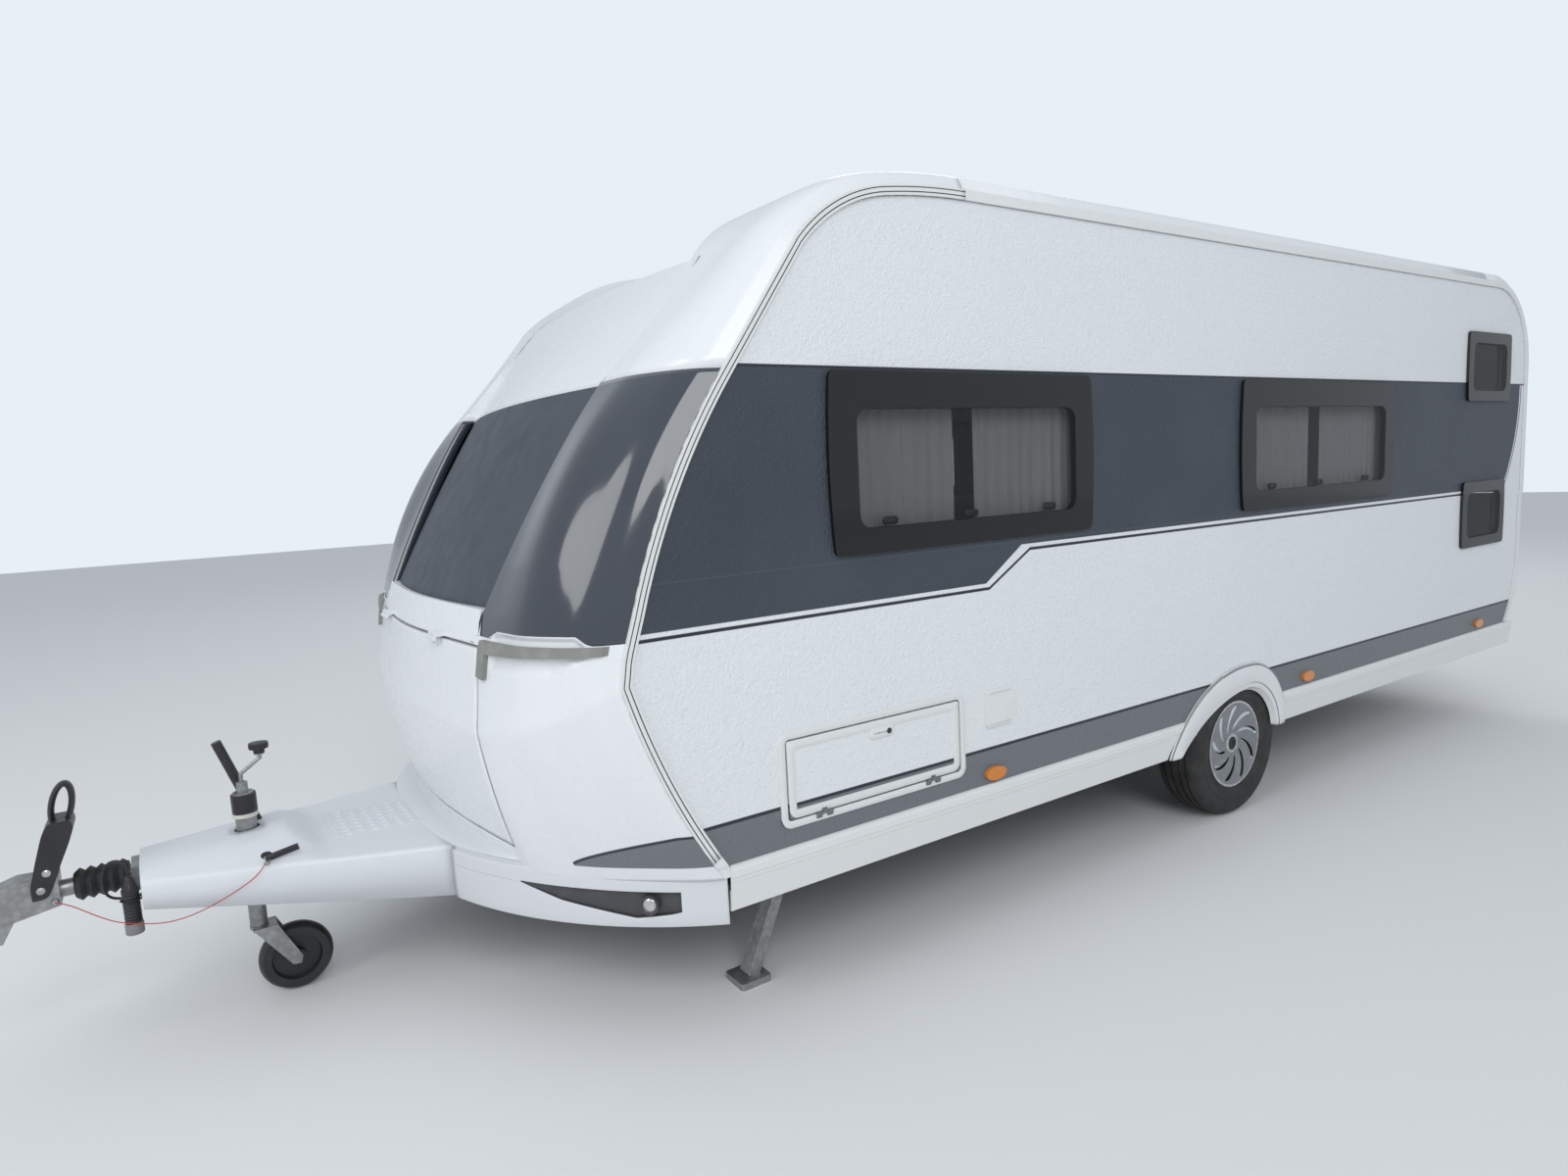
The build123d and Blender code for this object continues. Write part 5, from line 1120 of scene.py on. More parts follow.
def add_hatches():
    """Frames and rims of the two hatches, each with its lock, and the socket flap's two bars."""
    cream = moulded("frame_cream", (0.76, 0.765, 0.755), 0.3)
    for side, name, bounds in ((1, "service_hatch", HATCH), (-1, "cassette_hatch", CASSETTE)):
        fixed = ring_piece(name + "_frame", side, bounds, 0.008, FRAME_SECTION)
        placed(fixed, "caravan", "white_moulding", cream)
        placed(ring_piece(name + "_rim", side, bounds, 0.030, RIM_SECTION), name, "white_moulding", cream)
        x0, x1, _, z1 = bounds
        x, z = x0 + LOCK_SHARE * (x1 - x0), z1 - LOCK_DROP
        plate = (x - LOCK_HALF, x + LOCK_HALF, z - LOCK_HALF_HEIGHT, z + LOCK_HALF_HEIGHT)
        placed(ring_piece(name + "_lock", side, plate, 0.0175, LOCK_SECTION), name, "white_moulding", cream)
        dark = plastic(name + "_lock_dark", (0.03, 0.03, 0.032), 0.35)
        place = (at(x - side * KEYHOLE_BACK), side * (WALL_Y + HATCH_FACE), z)
        placed(turned(name + "_keyhole", place, (0, side, 0), KEYHOLE, 20), name, "black_plastic", dark)
        grey = plastic(name + "_button_grey", (0.25, 0.25, 0.25), 0.4)
        knob = (x + BUTTON_FROM, x + BUTTON_TO, z - BUTTON_HALF, z + BUTTON_HALF)
        button = ring_piece(name + "_button", side, knob, 0.004, BUTTON_SECTION, 5)
        placed(button, name, "black_plastic", grey)
    x0, x1, z0, z1 = FLAP
    inset_x, inset_z = BAR_INSET
    for name, z in (("flap_bar_top", z1 - inset_z), ("flap_bar_foot", z0 + inset_z)):
        bounds = (x0 + inset_x, x1 - inset_x, z - BAR_HALF, z + BAR_HALF)
        placed(ring_piece(name, 1, bounds, 0.0034, BAR_SECTION, 5), "socket_flap", "white_moulding", cream)


# The wheel cover: spokes, and where they start and end from the axle
SPOKES, SPOKE_START, SPOKE_END = 9, 0.058, 0.172
# How far they swirl, in pitches; then a gap's depth in millimetres, its half width in metres and its growth
SPOKE_SWIRL, GAP_DEPTH, GAP_HALF, GAP_GROWTH = 1.15, 13.0, 0.0045, 0.0095
# Radius in metres and height over the cover's outermost face in millimetres
WHEEL_ROWS = (
    (0.002, -22.0), (0.030, -21.0), (0.034, -20.5), (0.040, -20.0), (0.046, -24.0), (0.056, -22.5),
    (0.080, -19.0), (0.120, -14.0), (0.160, -11.0), (0.172, -10.2), (0.178, -9.6), (0.186, -9.6),
    (0.192, -9.4), (0.198, -10.5), (0.199, -13.0),
)
WHEEL_HUB = (0.002, 0.016, 0.030, 0.033, 0.036, 0.040, 0.043, 0.050)
WHEEL_RIM = (0.175, 0.178, 0.183, 0.188, 0.192, 0.196, 0.199)
# Cell finishes: grey spokes, a pale painted sheen on each gap's slanted facet, near-black painted shade in its
# deep side, bright metal rings
GREY, FACET_SHEEN, DARK_SHADE, BRIGHT = range(4)


def wheel_face(side):
    """The cover by radius and turn: spokes that swirl with the radius; gaps that fall and slant back up."""
    r = np.array([*WHEEL_HUB, *np.linspace(SPOKE_START, SPOKE_END, 26), *WHEEL_RIM])
    base = np.interp(r, *np.array(WHEEL_ROWS).T)[:, None]
    pitch = 2 * pi / SPOKES
    width = GAP_HALF + GAP_GROWTH * np.clip((r - SPOKE_START) / 0.10, 0, 1)
    width = width * np.sqrt(np.clip((r - SPOKE_START) / 0.016, 0, 1) * np.clip((SPOKE_END - r) / 0.010, 0, 1))
    share = np.clip(width / (pitch * r), 0.0015, 0.4)[:, None]
    spoke, gap = np.linspace(0, 1, 5), np.linspace(0, 1, 7)
    rest = (0.5 - share) * spoke
    phase = np.concatenate([rest - 0.5, -share + 2 * share * gap, share + rest[:, 1:-1]], axis=1)
    fall = np.concatenate([0 * spoke, (1 - gap) ** 0.8, 0 * spoke[1:-1]])
    high = base - GAP_DEPTH * fall * np.clip(width / 0.004, 0, 1)[:, None]
    high = np.broadcast_to(high[:, None, :], (len(r), SPOKES, fall.size)).reshape(len(r), -1) / 1000
    turn = SPOKE_SWIRL * np.clip((r - 0.05) / 0.13, 0, 1)[:, None, None]
    angle = ((np.arange(SPOKES)[:, None] + phase[:, None, :] + turn) * pitch).reshape(len(r), -1)
    wide = r[:, None]
    x, z = at(-side * wide * np.sin(angle)), AXLE_Z + wide * np.cos(angle)
    points = np.stack([x, side * (WHEEL_OUT + high), z], -1)
    hub, rim = len(WHEEL_HUB), len(r) - len(WHEEL_RIM)
    cell = np.full((len(r) - 1, fall.size), GREY)
    # A gap's deep side takes near black, a painted shade, and its slanted facet takes a pale colour, a painted
    # sheen; the hub's middle takes the same near black
    cell[hub - 1:rim, spoke.size - 1:spoke.size + 2] = DARK_SHADE
    cell[hub - 1:rim, spoke.size + 2:spoke.size + 6] = FACET_SHEEN
    cell[:2] = DARK_SHADE
    cell[2:6] = BRIGHT
    cell[rim + 2:] = BRIGHT
    return points, np.tile(cell, (1, SPOKES))


# A tyre's radius and distance from its middle, from the bead to the tread; its grooves; and how far its
# middle lies in from the wall
TYRE_SIDE = (
    (0.190, 0.0855), (0.195, 0.0915), (0.203, 0.0925), (0.205, 0.0915), (0.236, 0.0955), (0.238, 0.0965),
    (0.243, 0.0965), (0.245, 0.0958), (0.275, 0.0975), (0.290, 0.0955), (0.302, 0.0895), (0.309, 0.083),
    (0.3145, 0.073), (0.317, 0.0655),
)
TYRE_GROOVES = (0.050, 0.018)
TYRE_IN = 0.118


def tyre(name, side):
    """Bead, ringed wall and grooved tread, turned round the axle."""
    outer = list(TYRE_SIDE)
    for place in TYRE_GROOVES:
        outer += [(0.3192, place + 0.005), (0.3125, place + 0.0035)]
        outer += [(0.3125, place - 0.0035), (0.3196, place - 0.005)]
    rows = outer + [(r, -h) for r, h in reversed(outer)]
    return turned(name, (at(0), side * (WALL_Y - TYRE_IN), AXLE_Z), (0, side, 0), rows, 96, True)


def add_wheels():
    """Tyres and swirled covers on both wheels."""
    rubber = tyre_rubber()
    for side, name in SIDES:
        placed(tyre("tyre_tread_" + name, side), "wheel_" + name, "tyre_rubber", rubber, "tyre_" + name)
    finishes = (
        # The facet's pale colour is a painted sheen and the slit's near black is a painted shade
        plastic("cover_grey", (0.20, 0.21, 0.225), 0.34), plastic("cover_painted_sheen", (0.62, 0.66, 0.72), 0.25),
        plastic("cover_painted_shade", (0.012, 0.012, 0.014), 0.5), galvanised("cover_bright", 0.75, 0.22),
    )
    for side, name in SIDES:
        points, cells = wheel_face(side)
        cover = grid_piece("cover_face_" + name, points, round_v=True)
        cover = smooth(thick(cover, 0.0025, (0, side, 0)), 38)
        striped(cover, "wheel_" + name, "cover_silver", finishes, cells, "wheel_cover_" + name)


# The arch moulding: each outline is two arcs through three points, from the front foot over to the rear one
ARCH_OUTER = (
    ((0.527, 0.365), (0.300, 0.600), (-0.042, 0.681)),
    ((-0.042, 0.681), (-0.260, 0.590), (-0.337, 0.365)),
)
ARCH_INNER = (
    ((0.437, 0.360), (0.250, 0.480), (0.0, 0.555)),
    ((0.0, 0.555), (-0.170, 0.515), (-0.262, 0.360)),
)
# Share of the way from the outer to the inner outline, and height over the wall
ARCH_SECTION = (
    (0.0, 0.0004), (0.0, 0.0085), (0.012, 0.0105), (0.085, 0.0118), (0.095, 0.0148), (0.13, 0.0158),
    (0.66, 0.0158), (0.675, 0.0150), (0.685, 0.0118), (0.70, 0.0110), (0.84, 0.0110), (0.87, 0.0095),
    (0.985, -0.012), (1.0, -0.013),
)
ARCH_LOWEST = 0.361
ARCH_WHITE, ARCH_TAUPE, ARCH_LINE = range(3)


def arc_through(points, steps):
    """X and Z along the circle through three points."""
    a, b, c = (np.array([p]) for p in points)
    centre = through_centre(a, b, c)
    share = np.linspace(0, 1, steps)
    return np.concatenate([arc_points(a, b, centre, share), arc_points(b, c, centre, share)[1:]])


def arch(side):
    """The arch moulding: its section carried along two outlines of two arcs each."""
    outer, inner = (
        np.concatenate([arc_through(front, 22), arc_through(rear, 15)[1:]])
        for front, rear in (ARCH_OUTER, ARCH_INNER)
    )
    share, high = np.array(ARCH_SECTION).T
    flat = outer[:, None] + (inner - outer)[:, None] * share[:, None]
    y = np.broadcast_to(side * (WALL_Y + high), flat.shape[:2])
    points = np.stack([at(flat[..., 0]), y, np.maximum(flat[..., 1], ARCH_LOWEST)], -1)
    cells = np.full((len(outer) - 1, len(share) - 1), ARCH_WHITE)
    cells[:30, 1:3] = ARCH_TAUPE
    cells[30:, 2:4] = ARCH_LINE
    cells[:, 7:9] = ARCH_LINE
    return points, cells


def add_arches():
    """Arch mouldings with their taupe edge and dark lines."""
    finishes = (
        moulded("arch_white", (0.77, 0.785, 0.79), 0.28), plastic("arch_taupe", TAUPE, 0.45),
        plastic("arch_line", (0.30, 0.31, 0.32), 0.5),
    )
    for side, name in SIDES:
        points, cells = arch(side)
        trim = smooth(thick(grid_piece("arch_" + name, points), 0.002, (0, side, 0)), 32)
        striped(trim, "caravan", "white_moulding", finishes, cells)
        if side > 0:
            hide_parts("arch_trims")


# The bumper's plan is a circle's arc through three points, from its middle's edge round to the side
BUMPER_ARC = ((3.195, 0.420), (2.975, 0.825), (2.605, 1.140))
BUMPER_END = 2.609
# Its section over and under the lamp: how far in from the plan, and height
BUMPER_LIP = (
    (0.0215, 0.489), (0.0215, 0.4985), (0.019, 0.5), (0.013, 0.5), (0.0115, 0.4985), (0.0105, 0.490),
    (0.003, 0.4885), (0.001, 0.4865), (0.0, 0.482),
)
BUMPER_TOE = ((0.006, 0.328), (0.010, 0.3255), (0.0215, 0.3255), (0.0215, 0.330))
FACE_TOP, FACE_FOOT, FACE_LEAN = 0.482, 0.334, 0.004
# The lamp's recess: height of its top and foot by X, and its depth; past its tip a groove goes on
LAMP_TOP = ((2.722, 0.434), (2.933, 0.441), (3.067, 0.443))
LAMP_FOOT = ((2.722, 0.374), (2.745, 0.368), (2.826, 0.358), (2.986, 0.400), (3.067, 0.439))
LAMP_REAR, LAMP_TIP = 2.722, 3.067
LAMP_DEPTH = ((LAMP_REAR, 0.020), (2.78, 0.020), (3.0, 0.013), (LAMP_TIP, 0.003))
GROOVE_TOP, GROOVE_FOOT, GROOVE_DEPTH = 0.4425, 0.4395, 0.0025
LAMP_EDGE = 0.0005
LAMP_PLACE, LAMP_WAY = (2.800, 1.012, 0.398), (0.72, 0.69, 0.0)
RING_ROWS = (
    (PIN, -0.004), (0.020, -0.004), (0.023, -0.002), (0.026, 0.003), (0.029, 0.003), (0.030, -0.006),
    (PIN, -0.006),
)
BOWL_ROWS = ((PIN, 0.002), (0.008, 0.0015), (0.016, 0.0), (0.020, -0.003), (0.020, -0.005), (PIN, -0.005))


def bumper_half(side):
    """Half the bumper: columns along its plan's circle, rows round its section, sunk where the lamp sits."""
    a, b, c = (np.array([p]) for p in BUMPER_ARC)
    centre = through_centre(a, b, c)
    radius = np.linalg.norm(a - centre)
    front = np.linspace(BUMPER_ARC[0][0], LAMP_TIP + 0.001, 22)
    lamp = np.linspace(LAMP_TIP, LAMP_REAR + 0.0005, 100)
    rear = [LAMP_REAR, LAMP_REAR - 0.003, *np.linspace(LAMP_REAR - 0.01, BUMPER_END, 18)]
    x = np.concatenate([front, lamp, rear])
    angle = np.arccos((x - centre[0, 0]) / radius)
    inside, past = (x <= LAMP_TIP) & (x > LAMP_REAR), x > LAMP_TIP
    top = np.where(past, GROOVE_TOP, np.interp(x, *np.array(LAMP_TOP).T))
    foot = np.where(past, GROOVE_FOOT, np.interp(x, *np.array(LAMP_FOOT).T))
    groove = GROOVE_DEPTH * np.clip((x - LAMP_TIP) / 0.02, 0, 1)
    deep = np.where(inside, np.interp(x, *np.array(LAMP_DEPTH).T), groove)
    level, edge = 0 * x, LAMP_EDGE * inside
    rows = [(level + inset, level + z) for inset, z in BUMPER_LIP]
    rows += [(level, FACE_TOP + (top - FACE_TOP) * share) for share in (0.25, 0.5, 0.75, 0.95)]
    rows.append((edge, top))
    first = len(rows) - 1
    for share in (0.02, 0.12, 0.25, 0.4, 0.55, 0.7, 0.85, 0.96):
        rows.append((deep * (1.0 - 0.35 * share), top + (foot - top) * share))
    rows.append((edge, foot))
    last = len(rows) - 1
    for share in (0.06, 0.3, 0.55, 0.8, 1.0):
        rows.append((level + FACE_LEAN * share ** 2, foot + (FACE_FOOT - foot) * share))
    rows += [(level + inset, level + z) for inset, z in BUMPER_TOE]
    inset, z = (np.stack(pick, 0) for pick in zip(*rows))
    reach = radius - inset
    x, y = centre[0, 0] + reach * np.cos(angle), centre[0, 1] + reach * np.sin(angle)
    points = np.stack([at(x), side * y, z], -1)
    cells = np.zeros((len(rows) - 1, len(angle) - 1), int)
    cells[first:last] = inside[:-1] & inside[1:]
    return points, cells


def add_bumper():
    """Both halves of the bumper, each with its lamp in a dark recess."""
    white = moulded("bumper_white", (0.66, 0.68, 0.70), 0.3)
    dark = plastic("lamp_recess", (0.055, 0.057, 0.062), 0.3)
    silver = galvanised("lamp_silver", 0.8, 0.15)
    for side, name in SIDES:
        points, cells = bumper_half(side)
        half = smooth(thick(grid_piece("bumper_" + name, points), 0.0015, (1, side, 0)), 30)
        striped(half, "caravan", "white_moulding", (white, dark), cells)
        mirror = np.array([1, side, 1])
        place, way = np.array(from_axle([LAMP_PLACE])[0]) * mirror, np.array(LAMP_WAY) * mirror
        ring = placed(turned("lamp_ring_" + name, place, way, RING_ROWS), "caravan", "lamp_lens", dark)
        placed(turned("lamp_bowl_" + name, place, way, BOWL_ROWS), "caravan", "lamp_lens", silver)
        if side > 0:
            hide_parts("front_bumper")
            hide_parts("front_lamps")


# A rail's section: how far in from the nose's outline, and height over the wall
RAIL_SECTION = (
    (-0.0019, 0.0005), (-0.0019, 0.0095), (-0.001, 0.0105), (0.005, 0.0108), (0.0056, 0.0100),
    (0.0074, 0.0100), (0.008, 0.0108), (0.019, 0.0108), (0.0196, 0.0100), (0.0216, 0.0100),
    (0.0222, 0.0108), (0.0295, 0.0106), (0.0302, 0.0095), (0.0302, 0.0005),
)
# Levels of the nose's outline along a rail, and the steps between them
RAIL_LEVELS = ((0, 1, 14), (1, 2, 16), (2, 3, 12), (3, 5, 18), (5, 7, 8), (7, 8.8, 18))


def add_rails():
    """The front edge rails: a flat band with two dark lines, from the roof to the sill."""
    finishes = (moulded("rail_face", CREAM, 0.3), plastic("rail_line", (0.05, 0.055, 0.06), 0.5))
    t = np.concatenate([[0.0], *(np.linspace(*levels)[1:] for levels in RAIL_LEVELS)])
    line = profile(outer_rows(np.full(t.size, WALL_Y)), t)
    along = np.gradient(line, axis=0)
    along /= np.linalg.norm(along, axis=1)[:, None]
    normal = np.stack([along[:, 1], -along[:, 0]], -1)
    inset, high = np.array(RAIL_SECTION).T
    flat = line[:, None] + normal[:, None] * inset[:, None]
    cells = np.zeros((len(t) - 1, len(inset) - 1), int)
    cells[:, 3:6] = 1
    cells[:, 7:10] = 1
    for side, name in SIDES:
        y = np.broadcast_to(side * (WALL_Y + high), flat.shape[:2])
        points = np.stack([at(flat[..., 0]), y, flat[..., 1]], -1)
        rail = smooth(thick(grid_piece("rail_" + name, points), 0.0012, (0, side, 0)), 30)
        striped(rail, "caravan", "white_moulding", finishes, cells)


# The coupling handle: a plate seen from the side, with a loop to hold on top
HANDLE = (
    (4.262, 0.506), (4.263, 0.545), (4.243, 0.620), (4.222, 0.690), (4.205, 0.722), (4.152, 0.722),
    (4.146, 0.700), (4.160, 0.660), (4.186, 0.600), (4.216, 0.525), (4.228, 0.506),
)
HANDLE_HALF = 0.054
GRIP_X, GRIP_Z, GRIP_WIDE, GRIP_LEAN, GRIP_HIGH = 4.171, 0.757, 0.0240, 0.012, 0.062
RIVETS, RIVET_Y = ((4.240, 0.532), (4.222, 0.580)), 0.0535
RIVET_ROWS = ((PIN, 0.0), (0.0105, 0.0), (0.0105, 0.0008), (0.0075, 0.0030), (PIN, 0.0034))
# The jockey post: its place and the hole for it, and the radii and heights of what sits round it
POST_X, POST_HOLE, CRANK_X = 3.718, 0.037, 3.660
KNOB_ROWS = (
    (PIN, 0.801), (0.012, 0.801), (0.0160, 0.806), (0.0170, 0.8190), (0.0278, 0.8205), (0.0290, 0.829),
    (0.0280, 0.8390), (0.014, 0.8410), (PIN, 0.8410),
)
COLLAR_ROWS = (
    (0.0308, 0.611), (0.0365, 0.611), (0.0372, 0.614), (0.0372, 0.620), (0.0365, 0.623), (0.0308, 0.623),
)
SLEEVE_ROWS = (
    (0.0305, 0.6255), (0.0356, 0.6255), (0.0362, 0.629), (0.0362, 0.681), (0.0356, 0.6845),
    (0.0305, 0.6845),
)


def grip_loop():
    """The loop on the handle: a leaning ellipse in X and Z, with an oval section carried round it."""
    turn = np.linspace(0, 2 * pi, 41)[:-1]
    x = GRIP_X + GRIP_WIDE * np.cos(turn) - GRIP_LEAN * np.sin(turn)
    loop = np.stack([at(x), 0 * turn, GRIP_Z + GRIP_HIGH * np.sin(turn)], -1)
    ahead = np.roll(loop, -1, axis=0) - np.roll(loop, 1, axis=0)
    ahead /= np.linalg.norm(ahead, axis=1)[:, None]
    across = np.stack([ahead[:, 2], 0 * turn, -ahead[:, 0]], -1)
    a, b = oval(0.0085, 0.024).T[:, None, :, None]
    return loop[:, None] + across[:, None] * a + np.array([0, 1, 0]) * b


def add_hitch():
    """Coupling handle with its rivets, crank knob, and the collar and sleeve round the jockey post."""
    black = plastic("handle_black", (0.016, 0.016, 0.018), 0.36)
    outline = bent([*HANDLE, HANDLE[0]], 0.012, 4)[:-1]
    path = [(0, y, 0) for y in (-HANDLE_HALF, 0, HANDLE_HALF)]
    plate = swept("coupling_handle_body", path, [(-at(x), z) for x, z in outline], (0, 0, 1))
    placed(plate, "caravan", "black_plastic", black, "coupling_handle")
    grip = closed(grid_piece("coupling_grip", grip_loop(), True, True), 50)
    placed(grip, "caravan", "black_plastic", black)
    zinc = galvanised("rivet_zinc", 0.6, 0.3)
    for number, (x, z) in enumerate(RIVETS):
        rivet = turned(f"handle_rivet_{number}", (at(x), RIVET_Y, z), (0, 1, 0), RIVET_ROWS, 20)
        placed(rivet, "caravan", "galvanised", zinc)
    post, up = (at(POST_X), 0, 0), (0, 0, 1)
    placed(turned("crank_knob", (at(CRANK_X), 0, 0), up, KNOB_ROWS), "caravan", "black_plastic", black)
    cream = moulded("collar_cream", (0.62, 0.60, 0.54), 0.4)
    placed(turned("post_collar", post, up, COLLAR_ROWS, 40, True), "caravan", "white_moulding", cream)
    placed(turned("post_sleeve", post, up, SLEEVE_ROWS, 40, True), "caravan", "black_plastic", black)
    add_cover(black)


# The drawbar cover by X: half width, foot, edge and half width of its flat top. The top runs level under the
# tread, rises to its ridge and falls a little to the front.
COVER_REAR, TREAD_END, RIDGE_X, COVER_FRONT = 3.190, 3.505, 3.630, 4.005
COVER_SHAPE = (
    (COVER_REAR, 0.418, 0.335, 0.500, 0.200), (TREAD_END, 0.314, 0.372, 0.510, 0.150),
    (RIDGE_X, 0.273, 0.389, 0.513, 0.115), (COVER_FRONT, 0.150, 0.440, 0.520, 0.092),
)
FLAT_REAR_Z, FLAT_END_Z, RIDGE_Z, FRONT_Z = 0.502, 0.514, 0.576, 0.556
EDGE_ROUND, RIDGE_ROUND = 0.016, 0.045
# X of the points next to the post's hole
HOLE_REAR, HOLE_FRONT = 3.657, 3.780


def flat_top(x):
    """Height of the level stretch under the tread."""
    return np.interp(x, (COVER_REAR, TREAD_END), (FLAT_REAR_Z, FLAT_END_Z))


def cover_skin():
    """The drawbar cover: at each X a wall, a rounded shoulder and a flat top, open round the jockey post.

    Points on a square round the post are pulled in onto a circle.
    """
    ring = np.array([-1.0, -0.5, 0.0, 0.5, 1.0]) * POST_HOLE
    x = np.concatenate([
        np.linspace(COVER_REAR, TREAD_END, 10), np.linspace(TREAD_END, RIDGE_X, 14)[1:],
        [HOLE_REAR], POST_X + ring, np.linspace(HOLE_FRONT, COVER_FRONT, 10),
    ])
    stations, *columns = np.array(COVER_SHAPE).T
    half, foot, edge, ridge = (np.interp(x, stations, column) for column in columns)
    share = np.clip((x - TREAD_END) / (RIDGE_X - TREAD_END), 0, 1)
    fall = RIDGE_Z - (x - RIDGE_X) * (RIDGE_Z - FRONT_Z) / (COVER_FRONT - RIDGE_X)
    top = np.where(share < 1, flat_top(x) + (RIDGE_Z - flat_top(x)) * eased(share), fall)
    corner = [np.stack(pair, -1) for pair in ((half, foot), (half, edge), (ridge, top), (0 * half, top))]
    rows = [corner[0]]
    for k, reach in ((1, EDGE_ROUND), (2, RIDGE_ROUND)):
        before, after = corner[k - 1] - corner[k], corner[k + 1] - corner[k]
        size_b = np.linalg.norm(before, axis=1)[:, None]
        size_a = np.linalg.norm(after, axis=1)[:, None]
        start = corner[k] + before / size_b * np.minimum(reach, 0.45 * size_b)
        end = corner[k] + after / size_a * np.minimum(reach, 0.45 * size_a)
        for t in np.linspace(0, 1, 8):
            rows.append((1 - t) ** 2 * start + 2 * t * (1 - t) * corner[k] + t * t * end)
    for y in ring[:1:-1]:
        rows.append(np.stack([np.full(x.shape, y), top], -1))
    left = np.stack(rows, 1)
    both = np.concatenate([left, left[:, -2::-1] * np.array([-1, 1])], axis=1)
    dx, y = np.broadcast_to(x[:, None], both.shape[:2]) - POST_X, both[..., 0]
    square = np.maximum(abs(dx), abs(y))
    near = 1e-6
    pull = np.where(abs(square - POST_HOLE) < near, POST_HOLE / np.maximum(np.hypot(dx, y), near), 1.0)
    points = np.stack([at(POST_X + dx * pull), y * pull, both[..., 1]], -1)
    within = square < POST_HOLE + near
    hole = within[1:, 1:] & within[:-1, 1:] & within[1:, :-1] & within[:-1, :-1]
    return points, ~hole


# The ledge: where it leaves the nose, how far it stays inside the bumper's plan, the plan's front by three
# points, and its section as a share of the way out and a height
LEDGE_Y, LEDGE_Z, LEDGE_IN, LEDGE_NARROW = 1.136, 0.516, 0.006, 0.9955
BUMPER_FRONT = ((3.195, -0.420), (3.238, 0.0), (3.195, 0.420))
LEDGE_SECTION = (
    (-0.06, 0.522), (0.0, 0.5165), (0.06, 0.5125), (0.30, 0.5100), (0.65, 0.5065), (0.93, 0.5045),
    (0.98, 0.5035), (1.0, 0.5000),
)


def travelled(line):
    """How far along a line of points each one lies."""
    return np.concatenate([[0], np.cumsum(np.linalg.norm(np.diff(line, axis=0), axis=1))])


def ledge():
    """The bumper's ledge: from the nose's foot out to the bumper's plan, at the same share of both lines."""
    y = LEDGE_Y * np.linspace(-1, 1, 161)[:, None]
    inner = skin_grid(outer_rows, y, level_at(outer_rows, y, LEDGE_Z, 7, 9))[:, 0, :2]
    a, b, c = (np.array([p]) for p in BUMPER_ARC)
    side = arc_points(a, c, through_centre(a, b, c), np.linspace(0, 1, 60))
    plan = np.concatenate([side[::-1] * np.array([1, -1]), arc_through(BUMPER_FRONT, 24)[1:-1], side])
    travel, reach = travelled(plan), travelled(inner)
    where = reach / reach[-1] * travel[-1]
    x = np.interp(where, travel, plan[:, 0]) - LEDGE_IN
    y = np.interp(where, travel, plan[:, 1]) * LEDGE_NARROW
    outer = np.stack([at(x), y], -1)
    rows = []
    for share, z in LEDGE_SECTION:
        rows.append(np.column_stack([inner + (outer - inner) * share, np.full(len(inner), z)]))
    return np.stack(rows, 1)


# The tread's studs on the cover: the mat's ends and half width, the studs' pitch, half sizes and height
MAT_X, MAT_HALF, MAT_RISE = (3.205, 3.490), 0.135, 0.0006
STUDS_X, STUDS_HALF = (3.212, 3.483), 0.128
STUD_PITCH, STUD_HALF, STUD_HIGH = (0.040, 0.042), (0.013, 0.0085), 0.0048
# The release on the cover: its round hole's place, way and outline, and its paddle's line
RELEASE_PLACE, RELEASE_WAY = (3.684, 0.205, 0.5345), (0, 0.38, 0.92)
RELEASE_ROWS = ((PIN, 0.0), (0.016, 0.0), (0.016, 0.0012), (0.013, 0.0024), (PIN, 0.0016))
PADDLE = ((3.690, 0.236, 0.534), (3.660, 0.236, 0.540), (3.600, 0.250, 0.5555))


def tread_mat():
    """A mat on the cover's level stretch: half ellipsoid studs, every other row offset by half a pitch."""
    x = np.linspace(*MAT_X, 96)[:, None]
    y = np.linspace(-MAT_HALF, MAT_HALF, 91)[None, :]
    (pitch_x, pitch_y), (half_x, half_y) = STUD_PITCH, STUD_HALF
    row = np.round(x / pitch_x)
    dx = x - row * pitch_x
    shifted = y + np.where(row % 2 == 0, 0.0, pitch_y / 2)
    dy = shifted - np.round(shifted / pitch_y) * pitch_y
    stud = np.clip(1 - (dx / half_x) ** 2 - (dy / half_y) ** 2, 0, 1) ** 0.5
    room = np.minimum(np.minimum(x - STUDS_X[0], STUDS_X[1] - x), STUDS_HALF - abs(y))
    inside = np.clip(room / 0.004, 0, 1)
    z = flat_top(x) + MAT_RISE + STUD_HIGH * stud * (inside >= 1) + 0.001 * inside
    return np.stack(np.broadcast_arrays(at(x), y, z), -1)


def add_cover(black):
    """The cover over the drawbar with its tread, the bumper's ledge, and the release with its hole."""
    white = moulded("cover_shell", (0.72, 0.745, 0.77), 0.35)
    up = (0, 0, 1)
    points, keep = cover_skin()
    cover = smooth(thick(grid_piece("cover_shell", points, caps=(False, True), keep=keep), 0.003, up), 32)
    placed(cover, "caravan", "white_moulding", white, "drawbar_cover")
    step = smooth(thick(grid_piece("bumper_ledge", ledge()), 0.003, up), 30)
    placed(step, "caravan", "white_moulding", white)
    hole = turned("release_hole", from_axle([RELEASE_PLACE])[0], RELEASE_WAY, RELEASE_ROWS, 24)
    placed(hole, "caravan", "black_plastic", black)
    paddle = swept("release_paddle", bent(from_axle(PADDLE), 0.03), oval(0.0105, 0.0055))
    placed(paddle, "caravan", "black_plastic", black)
    tread = smooth(thick(grid_piece("cover_tread", tread_mat()), 0.0012, up), 50)
    placed(tread, "caravan", "white_moulding", moulded("cover_white", (0.70, 0.73, 0.76), 0.35))


